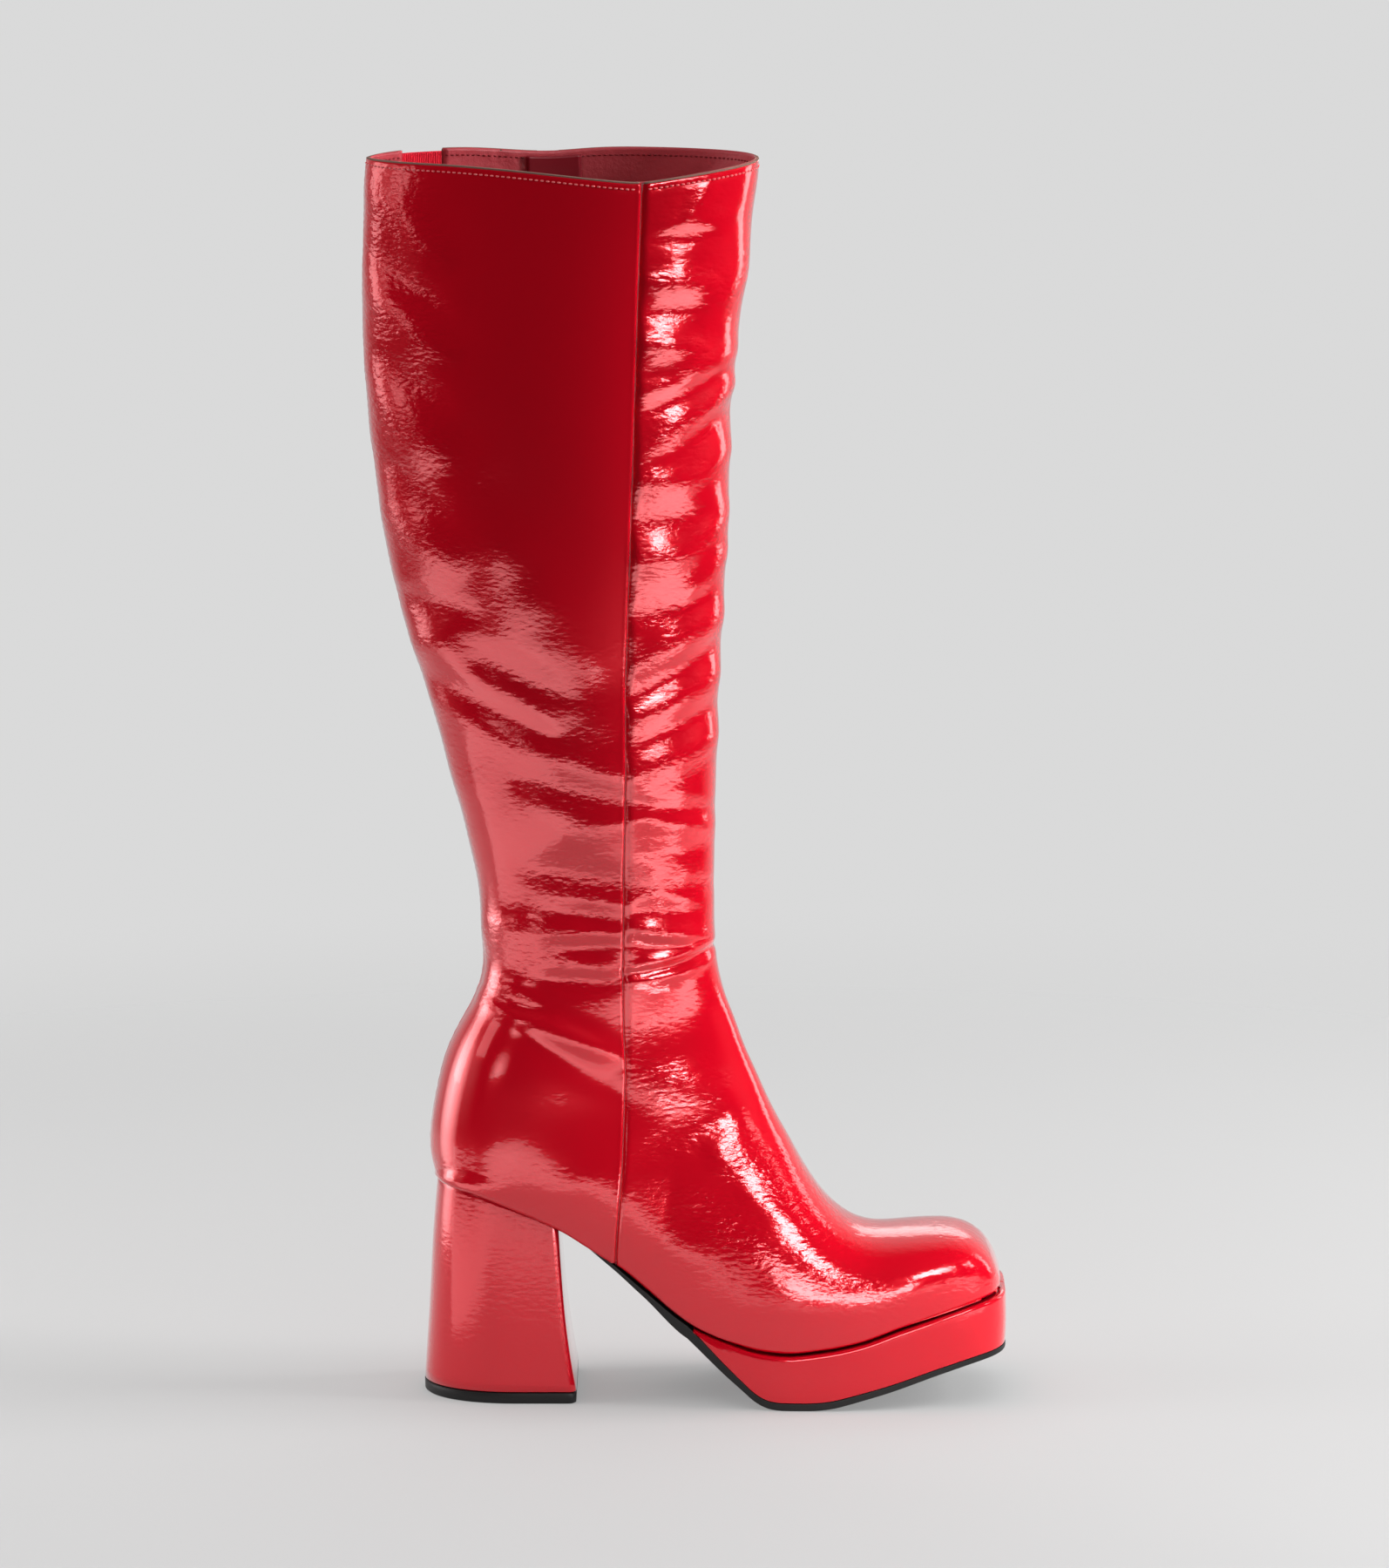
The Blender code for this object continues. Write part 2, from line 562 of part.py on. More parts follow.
def make_pull():
    """The pull tab: a flat plate with a window that the slider's bridge passes through."""
    curve = bpy.data.curves.new("zip_pull", "CURVE")
    curve.dimensions = "2D"
    curve.fill_mode = "BOTH"
    curve.extrude = PULL_THICKNESS / 2 * MM
    add_outline(curve, pull_outline())
    side, top = PULL_WINDOW_WIDTH / 2, -PULL_BAR / 2
    foot = top - PULL_WINDOW_LENGTH
    add_outline(curve, [(side, top), (side, foot), (-side, foot), (-side, top)])
    pull = new_object("zip_pull", curve, ZIP_METAL)
    pull.matrix_local = slider_frame() @ Matrix.Translation((0, 0, slider_levels()[2] * MM))
    return pull


def slab_rings(stations, half_width, bottom, top, corner_in=(0.0, 0.0), corner_up=(0.0, 0.0)):
    """Rings of a flat piece of the sole, from its back to its front.

    half_width(x, side), bottom(x) and top(x) give its form. Its bottom and top corners
    are cut by corner_in across and corner_up upwards.
    """
    rings = []
    for x in stations:
        low, high = float(bottom(x)), float(top(x))
        heights = (low, low + corner_up[0], high - corner_up[1], high)
        insets = (corner_in[0], 0.0, 0.0, corner_in[1])
        sides = []
        for side in (LATERAL, MEDIAL):
            half = float(half_width(x, side))
            sides.append([(x, side * (half - inset), z) for inset, z in zip(insets, heights)])
        rings.append(sides[0] + sides[1][::-1])
    return rings


def tread_stations():
    """Places along the foot for the platform and the tread: closer at the toe, with the flat's ends."""
    turn = np.linspace(0, math.pi / 2, 26)
    front = TOE_X + LEDGE - 0.02
    stations = LEDGE_START_X + (front - LEDGE_START_X) * np.sin(turn)
    for mark in FLAT_ENDS:
        stations[np.argmin(np.abs(stations - mark))] = mark
    return stations


def make_insole():
    """The insole board, inside the upper's bottom edge."""
    back, front = HEEL_X + INSOLE_INSET + 0.2, TOE_X - INSOLE_INSET - 0.2
    angle = np.linspace(0, math.pi, 28)
    stations = (back + front) / 2 - (front - back) / 2 * np.cos(angle)
    rings = slab_rings(
        stations,
        lambda x, side: feather_half_width(x, side, -INSOLE_INSET),
        lambda x: feather_height(x),
        lambda x: feather_height(x) + INSOLE_THICKNESS,
    )
    return new_object("insole", loft_mesh("insole", rings), LINING_RED)


def make_platform():
    """The covered platform under the forefoot, thin at its back and squared at the toe."""
    rings = slab_rings(
        tread_stations(),
        lambda x, side: feather_half_width(x, side, float(ledge_width(x))),
        lambda x: outsole_top(x) + GAP,
        lambda x: feather_height(x) - GAP,
        corner_in=(0.3, 1.2),
        corner_up=(0.2, 0.5),
    )
    return new_object("platform", loft_mesh("platform", rings), PATENT_RED)


def make_outsole():
    """The outsole: a thin shank from the heel's breast, and the tread under the platform up to the toe."""
    shank = np.linspace(BREAST_X + GAP, SHANK_END_X, 8)
    rings = slab_rings(
        np.concatenate([shank, tread_stations()]),
        lambda x, side: feather_half_width(x, side, float(ledge_width(x))),
        tread_height,
        outsole_top,
        corner_in=(0.5, 0.0),
        corner_up=(0.5, 0.1),
    )
    return new_object("outsole", loft_mesh("outsole", rings), RUBBER_BLACK)


def heel_half_width(share, half):
    """Half width of the heel at a share of its length from the back: a round back and straight sides."""
    return half * quarter_round(1 - share / HEEL_ROUND_SHARE, HEEL_BACK_POWER)


def heel_shares():
    """Shares of the heel's length, close together at its round back, from a narrow flat there."""
    turn = np.linspace(0, math.pi / 2, HEEL_STATIONS)
    return np.maximum(1 - np.cos(turn), 0.004)


def heel_rings(levels, height_at):
    """Rings of the heel from back to front, each down the outer side and up the inner side."""
    rings = []
    for share in heel_shares():
        outer = []
        for level in levels:
            x = level.back_x + share * (level.front_x - level.back_x)
            outer.append((x, -heel_half_width(share, level.half_width), height_at(level, x)))
        inner = [(x, -y, z) for x, y, z in outer[::-1]]
        rings.append(outer + inner)
    return rings


def make_heel_block():
    """The covered heel, flared to its foot, with its top against the heel seat."""
    foot = LIFT_HEIGHT + GAP

    def height(level, x):
        return foot + level.share * (float(feather_height(max(x, HEEL_X))) - SEAT_GAP - foot)

    return new_object("heel_block", loft_mesh("heel_block", heel_rings(HEEL_LEVELS, height)), PATENT_RED)


def make_heel_lift():
    """The rubber lift that the heel stands on."""
    foot = HEEL_LEVELS[0]
    levels = (foot._replace(share=0.0), foot._replace(share=1.0))
    rings = heel_rings(levels, lambda level, x: level.share * LIFT_HEIGHT)
    return new_object("heel_lift", loft_mesh("heel_lift", rings), RUBBER_BLACK)


def centre_on_origin(objects):
    """Moves the boot's empty so that the middle of its box stands on the world's origin."""
    bpy.context.view_layer.update()
    graph = bpy.context.evaluated_depsgraph_get()
    points = []
    for obj in objects:
        evaluated = obj.evaluated_get(graph)
        points += [evaluated.matrix_world @ vertex.co for vertex in evaluated.to_mesh().vertices]
    points = np.array(points)
    middle = (points.min(axis=0) + points.max(axis=0)) / 2
    bpy.data.objects["boot"].location = (-middle[0], -middle[1], 0)


def main():
    clear_scene()
    for name in ("platform_boot", "cutters"):
        bpy.context.scene.collection.children.link(bpy.data.collections.new(name))
    boot = bpy.data.objects.new("boot", None)
    bpy.data.collections["platform_boot"].objects.link(boot)
    makers = (make_upper, make_gore, make_zip_chain, make_slider, make_pull, make_insole, make_platform,
              make_outsole, make_heel_block, make_heel_lift)
    centre_on_origin([maker() for maker in makers])


main()
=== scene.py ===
"""Looks of the red patent platform boot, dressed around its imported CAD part.

Sizes are in millimetres in the boot's own frame: x runs from heel to toe, y towards the inner
side of the leg and z up from the floor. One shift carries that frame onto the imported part.
"""

from __future__ import annotations

import json
import logging
import math
from collections.abc import Callable
from dataclasses import dataclass
from enum import Enum

import bmesh
import bpy
import numpy as np
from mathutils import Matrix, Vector

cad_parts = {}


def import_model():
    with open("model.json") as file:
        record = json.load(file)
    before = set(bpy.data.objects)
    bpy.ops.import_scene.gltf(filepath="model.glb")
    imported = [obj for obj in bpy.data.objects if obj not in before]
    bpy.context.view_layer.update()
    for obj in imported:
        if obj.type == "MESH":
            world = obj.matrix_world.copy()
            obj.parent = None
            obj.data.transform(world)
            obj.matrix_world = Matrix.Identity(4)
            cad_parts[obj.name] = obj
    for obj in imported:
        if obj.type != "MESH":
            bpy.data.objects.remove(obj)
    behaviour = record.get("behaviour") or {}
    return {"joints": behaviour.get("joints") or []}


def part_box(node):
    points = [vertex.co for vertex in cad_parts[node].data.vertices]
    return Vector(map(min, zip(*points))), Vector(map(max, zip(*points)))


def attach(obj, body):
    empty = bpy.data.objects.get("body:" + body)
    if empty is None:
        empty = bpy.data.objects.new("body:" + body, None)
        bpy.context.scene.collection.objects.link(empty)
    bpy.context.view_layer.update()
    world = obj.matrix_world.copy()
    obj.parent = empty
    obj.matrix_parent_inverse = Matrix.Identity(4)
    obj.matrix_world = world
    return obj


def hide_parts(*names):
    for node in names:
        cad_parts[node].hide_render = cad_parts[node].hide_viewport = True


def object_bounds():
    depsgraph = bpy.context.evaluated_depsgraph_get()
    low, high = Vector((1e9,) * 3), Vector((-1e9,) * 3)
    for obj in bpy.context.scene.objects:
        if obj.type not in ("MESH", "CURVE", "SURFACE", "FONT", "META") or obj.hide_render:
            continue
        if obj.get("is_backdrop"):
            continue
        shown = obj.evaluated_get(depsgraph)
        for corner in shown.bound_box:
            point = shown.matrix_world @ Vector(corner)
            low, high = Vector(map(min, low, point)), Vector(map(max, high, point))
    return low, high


MM = 0.001
Array = np.ndarray
Pair = tuple[float, float]
Triple = tuple[float, float, float]
Table = tuple[tuple[float, ...], ...]
Height = Callable[[Array], Array]
Finishes = dict[str, bpy.types.Material]
log = logging.getLogger("boot")

# Where the front of the heel lift is along x.
LIFT_FRONT = 59.0
# The outer side seam: height and x, from the collar down.
SIDE_SEAM: Table = (
    (511.0, 86.8), (502.7, 86.5), (463.0, 85.1), (381.0, 82.5), (296.0, 79.6), (224.0, 78.8),
    (180.5, 78.7), (137.0, 79.4), (100.5, 77.9), (64.0, 75.4), (50.0, 74.3),
)


class Side(Enum):
    """Outer and inner side of the boot, as the sign of y."""

    LATERAL = -1.0
    MEDIAL = 1.0


class Reach(Enum):
    """Which sides of the boot a crease runs over."""

    LATERAL = "lateral"
    FRONT = "front"
    BOTH = "both"


class Use(Enum):
    """Whether a studio light gives light or is only mirrored in the gloss."""

    LIGHT = "light"
    GLOSS = "gloss"


# Curves and grids


def quarter_round(share: Array, power: Array | float) -> Array:
    """A quarter of a superellipse of some power: 1 at share 0, falling to 0 at share 1."""
    return (1 - np.clip(share, 0, 1) ** power) ** (1 / power)


def signed_power(value: Array, power: float) -> Array:
    """A power that keeps the sign."""
    return np.sign(value) * np.abs(value) ** power


def ease(low: float, high: float, value: Array) -> Array:
    """A smooth step from 0 at low to 1 at high, with level ends."""
    t = np.clip((value - low) / (high - low), 0, 1)
    return t * t * (3 - 2 * t)


def line_x(line: Table, height: Array) -> Array:
    """The x at some heights of a line given as pairs of height and x, from the collar down."""
    heights, places = np.array(line[::-1], float).T
    return np.interp(height, heights, places)


def smooth_table(table: Table, x: Array) -> Array:
    """A cubic through a table's points that never overshoots them.

    Args:
        table: Pairs of place and value.
        x: Places to work it out at.

    Returns:
        The value at each place.
    """
    knots, values = np.array(table, float).T
    step = np.diff(knots)
    slope = np.diff(values) / step
    product = slope[:-1] * slope[1:]
    total = slope[:-1] + slope[1:]
    tangent = np.concatenate([slope[:1], np.zeros(len(slope) - 1), slope[-1:]])
    tangent[1:-1] = np.where(product > 0, 2 * product / np.where(product > 0, total, 1), 0)
    x = np.asarray(x, float)
    i = np.clip(np.searchsorted(knots, x) - 1, 0, len(step) - 1)
    t = np.clip((x - knots[i]) / step[i], 0, 1)
    rise = (3 - 2 * t) * t * t
    lead = t * (1 - t) * (1 - t)
    trail = t * t * (t - 1)
    ends = values[i] * (1 - rise) + values[i + 1] * rise
    return ends + step[i] * (lead * tangent[i] + trail * tangent[i + 1])


def natural_spline(knots: Array, values: Array, at: Array) -> Array:
    """A cubic through points with even curvature, straight at its two ends.

    Args:
        knots: Places of the points.
        values: Their values.
        at: Places to work it out at.

    Returns:
        The value at each place.
    """
    step = np.diff(knots)
    count = len(knots)
    system = np.eye(count)
    inner = np.arange(1, count - 1)
    system[inner, inner - 1] = step[:-1]
    system[inner, inner] = 2 * (step[:-1] + step[1:])
    system[inner, inner + 1] = step[1:]
    right = np.zeros(count)
    right[1:-1] = 6 * np.diff(np.diff(values) / step)
    bend = np.linalg.solve(system, right)
    i = np.clip(np.searchsorted(knots, at) - 1, 0, count - 2)
    b = (at - knots[i]) / step[i]
    a = 1 - b
    curve = (a**3 - a) * bend[i] + (b**3 - b) * bend[i + 1]
    return a * values[i] + b * values[i + 1] + curve * step[i] ** 2 / 6


def soften(values: Array, spread: float, axis: int) -> Array:
    """Averages a grid along one way with bell-shaped weights, its two ends held in place.

    Args:
        values: The grid.
        spread: Width of the bell, in grid steps.
        axis: Which way of the grid.

    Returns:
        The softened grid.
    """
    values = np.moveaxis(values, axis, 0)
    reach = int(math.ceil(3 * spread))
    weights = np.exp(-0.5 * (np.arange(-reach, reach + 1) / spread) ** 2)
    weights /= weights.sum()
    before = 2 * values[:1] - values[reach:0:-1]
    after = 2 * values[-1:] - values[-2 : -reach - 2 : -1]
    long = np.concatenate([before, values, after])
    count = len(values)
    total = sum(w * long[k : k + count] for k, w in enumerate(weights))
    return np.moveaxis(total, 0, axis)


def unit(vectors: Array) -> Array:
    """Vectors brought to length one."""
    return vectors / np.maximum(np.linalg.norm(vectors, axis=-1, keepdims=True), 1e-12)


def lengths_along(points: Array) -> Array:
    """Length travelled along a run of points.

    Args:
        points: Places along the second-to-last axis.

    Returns:
        The length from the first place to each.
    """
    steps = np.linalg.norm(np.diff(points, axis=-2), axis=-1)
    start = np.zeros(steps.shape[:-1] + (1,))
    return np.concatenate([start, np.cumsum(steps, axis=-1)], axis=-1)


def between(start: Array, end: Array, shares: Array) -> Array:
    """Distances on each row at shares of the way from its start to its end."""
    return start[:, None] + shares[None, :] * (end - start)[:, None]


def grid_faces(rows: int, columns: int, closed: bool = False, offset: int = 0) -> Array:
    """Quads over a grid of vertices numbered row by row.

    Args:
        rows: Rows of vertices.
        columns: Vertices in a row.
        closed: Whether the last column joins the first.
        offset: Number of the first vertex.

    Returns:
        Four vertex numbers a face.
    """
    i, j = np.meshgrid(
        np.arange(rows - 1), np.arange(columns if closed else columns - 1), indexing="ij"
    )
    a = i * columns + j
    b = i * columns + (j + 1) % columns
    quads = np.stack([a, b, b + columns, a + columns], axis=-1)
    return quads.reshape(-1, 4) + offset


@dataclass(frozen=True)
class Part:
    """What a piece is called, its finishes, a slot name, and the CAD node and body that it takes."""

    name: str
    finishes: tuple[str, ...]
    slot: str
    node: str
    body: str = "boot"


@dataclass
class Frame:
    """Carries the boot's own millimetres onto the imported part, and makes its mesh objects."""

    shift: Array
    finishes: Finishes

    def mesh(
        self, name: str, points: Array, faces: Array, weld: float = 0.0, crinkle: Array | None = None
    ) -> bpy.types.Object:
        """Makes a smooth mesh object of points and faces.

        Args:
            name: Name of the object.
            points: Vertices, in millimetres.
            faces: Vertex numbers of each face.
            weld: Distance under which vertices become one, in millimetres; none at 0.
            crinkle: How crinkled each vertex is, for the finishes that ask for it.

        Returns:
            The new object, at the origin, without a finish.
        """
        data = bpy.data.meshes.new(name)
        places = (points.reshape(-1, 3) + self.shift) * MM
        data.from_pydata(places.tolist(), [], faces.tolist())
        if crinkle is not None:
            layer = data.attributes.new("crinkle", "FLOAT", "POINT")
            layer.data.foreach_set("value", crinkle.reshape(-1).astype(np.float32))
        if weld > 0:
            made = bmesh.new()
            made.from_mesh(data)
            bmesh.ops.remove_doubles(made, verts=made.verts, dist=weld * MM)
            bmesh.ops.dissolve_degenerate(made, edges=made.edges, dist=weld * MM * 0.1)
            loose = [edge for edge in made.edges if not edge.link_faces]
            bmesh.ops.delete(made, geom=loose, context="EDGES")
            made.to_mesh(data)
            made.free()
        data.polygons.foreach_set("use_smooth", np.ones(len(data.polygons), bool))
        data.update()
        piece = bpy.data.objects.new(name, data)
        bpy.context.scene.collection.objects.link(piece)
        return piece

    def build(
        self, part: Part, points: Array, faces: Array | None = None, weld: float = 0.0,
        thickness: float = 0.0, crinkle: Array | None = None,
    ) -> None:
        """Makes a piece that rides on its body, takes its finishes and hides its CAD node.

        Args:
            part: Which piece it is; its second finish, if any, is on its cut edges.
            points: Vertices, in millimetres.
            faces: Vertex numbers of each face; those of a plain grid if not given.
            weld: Distance under which vertices become one, in millimetres; none at 0.
            thickness: Thickness added inwards to a grid of the upper, in millimetres; none at 0.
            crinkle: How crinkled each vertex is.
        """
        if faces is None:
            faces = grid_faces(*points.shape[:2])
        piece = self.mesh(part.name, points, faces, weld, crinkle)
        for finish in part.finishes:
            piece.data.materials.append(self.finishes[finish])
        if thickness > 0:
            piece.data.flip_normals()
            wall = piece.modifiers.new("thickness", "SOLIDIFY")
            wall.thickness = thickness * MM
            wall.offset = -1
            wall.material_offset_rim = len(part.finishes) - 1
        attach(piece, part.body)
        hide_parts(part.node)
        log.info("%s: %d faces", piece.name, len(piece.data.polygons))


# Finishes


class Nodes:
    """The node tree of a material or world, with short ways to add and join nodes."""

    def __init__(self, owner: bpy.types.Material | bpy.types.World) -> None:
        """Empties the owner's node tree."""
        owner.use_nodes = True
        self.tree = owner.node_tree
        self.tree.nodes.clear()

    def join(self, socket: bpy.types.NodeSocket, value: object) -> None:
        """Sets a socket to a number, or joins another socket to it."""
        if isinstance(value, bpy.types.NodeSocket):
            self.tree.links.new(value, socket)
        else:
            socket.default_value = value

    def add(self, kind: str, settings: dict | None = None, **inputs: object) -> bpy.types.Node:
        """Adds a node.

        Args:
            kind: Node type, without its ShaderNode prefix.
            settings: Properties of the node.
            inputs: Values or sockets for its inputs, spaces in their names as underscores.

        Returns:
            The node.
        """
        node = self.tree.nodes.new("ShaderNode" + kind)
        for key, value in (settings or {}).items():
            setattr(node, key, value)
        for key, value in inputs.items():
            name = key.replace("_", " ")
            self.join(next(s for s in node.inputs if s.name == name and s.enabled), value)
        return node

    def maths(self, kind: str, operation: str, *values: object) -> bpy.types.NodeSocket:
        """One sum on numbers or sockets.

        Args:
            kind: Math or VectorMath.
            operation: The sum, as Blender names it.
            values: Numbers or sockets, in the order of the node's inputs.

        Returns:
            The first result's socket.
        """
        node = self.add(kind, {"operation": operation})
        for socket, value in zip(node.inputs, values):
            self.join(socket, value)
        return node.outputs[0]

    def fade(
        self, value: object, start: float, end: float, low: float, high: float
    ) -> bpy.types.NodeSocket:
        """A smooth step in a value, from low at its start to high at its end."""
        node = self.add(
            "MapRange", {"interpolation_type": "SMOOTHSTEP"},
            Value=value, From_Min=start, From_Max=end, To_Min=low, To_Max=high,
        )
        return node.outputs[0]

    def place(self, scale: Triple) -> bpy.types.NodeSocket:
        """Object coordinates stretched by a scale per axis."""
        source = self.add("TexCoord")
        return self.add("Mapping", Vector=source.outputs["Object"], Scale=scale).outputs[0]

    def noise(self, place: bpy.types.NodeSocket, shape: Triple) -> bpy.types.Node:
        """Noise at a place, by its scale, detail and roughness."""
        scale, detail, rough = shape
        return self.add("TexNoise", Vector=place, Scale=scale, Detail=detail, Roughness=rough)

    def surface(self, **inputs: object) -> None:
        """Adds a material's surface, with its inputs by name, and joins it to the output."""
        shader = self.add("BsdfPrincipled", **inputs)
        self.add("OutputMaterial", Surface=shader.outputs[0])


@dataclass(frozen=True)
class PatentFinish:
    """Glossy coated leather: a red body under a clear coat, with fine crinkles in it."""

    name: str
    colour: Triple = (0.74, 0.001, 0.014)
    roughness: float = 0.16
    metallic: float = 0.25
    specular: float = 0.3
    coat_roughness: float = 0.035
    coat_ior: float = 1.55
    crinkle: float = 0.8
    crinkle_depth: float = 0.0004
    cell: Triple = (300.0, 300.0, 620.0)
    cell_scale: float = 0.9
    cell_smoothness: float = 0.35
    cell_rise: float = -0.6
    warp: float = 1.6
    # Scale, detail and roughness of the noise that warps the cells, and of the ripples.
    warp_noise: Triple = (0.55, 2.0, 0.5)
    ripple_noise: Triple = (0.8, 4.0, 0.55)
    ripple_rise: float = 1.1
    uses_attribute: bool = True

    def material(self) -> bpy.types.Material:
        """Builds the finish: warped cells and ripples as bump, as strong as the piece's crinkle."""
        material = bpy.data.materials.new(self.name)
        nodes = Nodes(material)
        place = nodes.place(self.cell)
        warp = nodes.noise(place, self.warp_noise)
        moved = nodes.maths(
            "VectorMath", "MULTIPLY_ADD", warp.outputs["Color"], (self.warp,) * 3, place
        )
        cells = nodes.add(
            "TexVoronoi", {"feature": "SMOOTH_F1"},
            Vector=moved, Scale=self.cell_scale, Smoothness=self.cell_smoothness,
        )
        ripple = nodes.noise(place, self.ripple_noise)
        height = nodes.maths(
            "Math", "ADD",
            nodes.maths("Math", "MULTIPLY", cells.outputs["Distance"], self.cell_rise),
            nodes.maths("Math", "MULTIPLY", ripple.outputs["Fac"], self.ripple_rise),
        )
        if self.uses_attribute:
            strength = nodes.add("Attribute", {"attribute_name": "crinkle"}).outputs["Fac"]
            height = nodes.maths("Math", "MULTIPLY", height, strength)
        bump = nodes.add("Bump", Strength=self.crinkle, Distance=self.crinkle_depth, Height=height)
        nodes.surface(
            Base_Color=(*self.colour, 1.0),
            Roughness=self.roughness,
            Metallic=self.metallic,
            Specular_IOR_Level=self.specular,
            Coat_Weight=1.0,
            Coat_Roughness=self.coat_roughness,
            Coat_IOR=self.coat_ior,
            Normal=bump.outputs[0],
            Coat_Normal=bump.outputs[0],
        )
        return material


@dataclass(frozen=True)
class GrainFinish:
    """A dull finish with a fine grain: lining, thread, cut edge, rubber or tape."""

    name: str
    colour: Triple
    roughness: float = 0.6
    grain: float = 0.3
    cell: float = 900.0
    specular: float = 0.35
    grain_depth: float = 0.0003
    noise: Triple = (1.0, 3.0, 0.6)

    def material(self) -> bpy.types.Material:
        """Builds the finish, with its grain as bump."""
        material = bpy.data.materials.new(self.name)
        nodes = Nodes(material)
        place = nodes.place((self.cell,) * 3)
        height = nodes.noise(place, self.noise).outputs["Fac"]
        bump = nodes.add("Bump", Strength=self.grain, Distance=self.grain_depth, Height=height)
        nodes.surface(
            Base_Color=(*self.colour, 1.0),
            Roughness=self.roughness,
            Specular_IOR_Level=self.specular,
            Normal=bump.outputs[0],
        )
        return material


@dataclass(frozen=True)
class MetalFinish:
    """Bright plated metal."""

    name: str
    colour: Triple = (0.62, 0.6, 0.57)
    roughness: float = 0.22

    def material(self) -> bpy.types.Material:
        """Builds the finish."""
        material = bpy.data.materials.new(self.name)
        Nodes(material).surface(
            Base_Color=(*self.colour, 1.0), Metallic=1.0, Roughness=self.roughness
        )
        return material


# The last: the shape that every piece follows


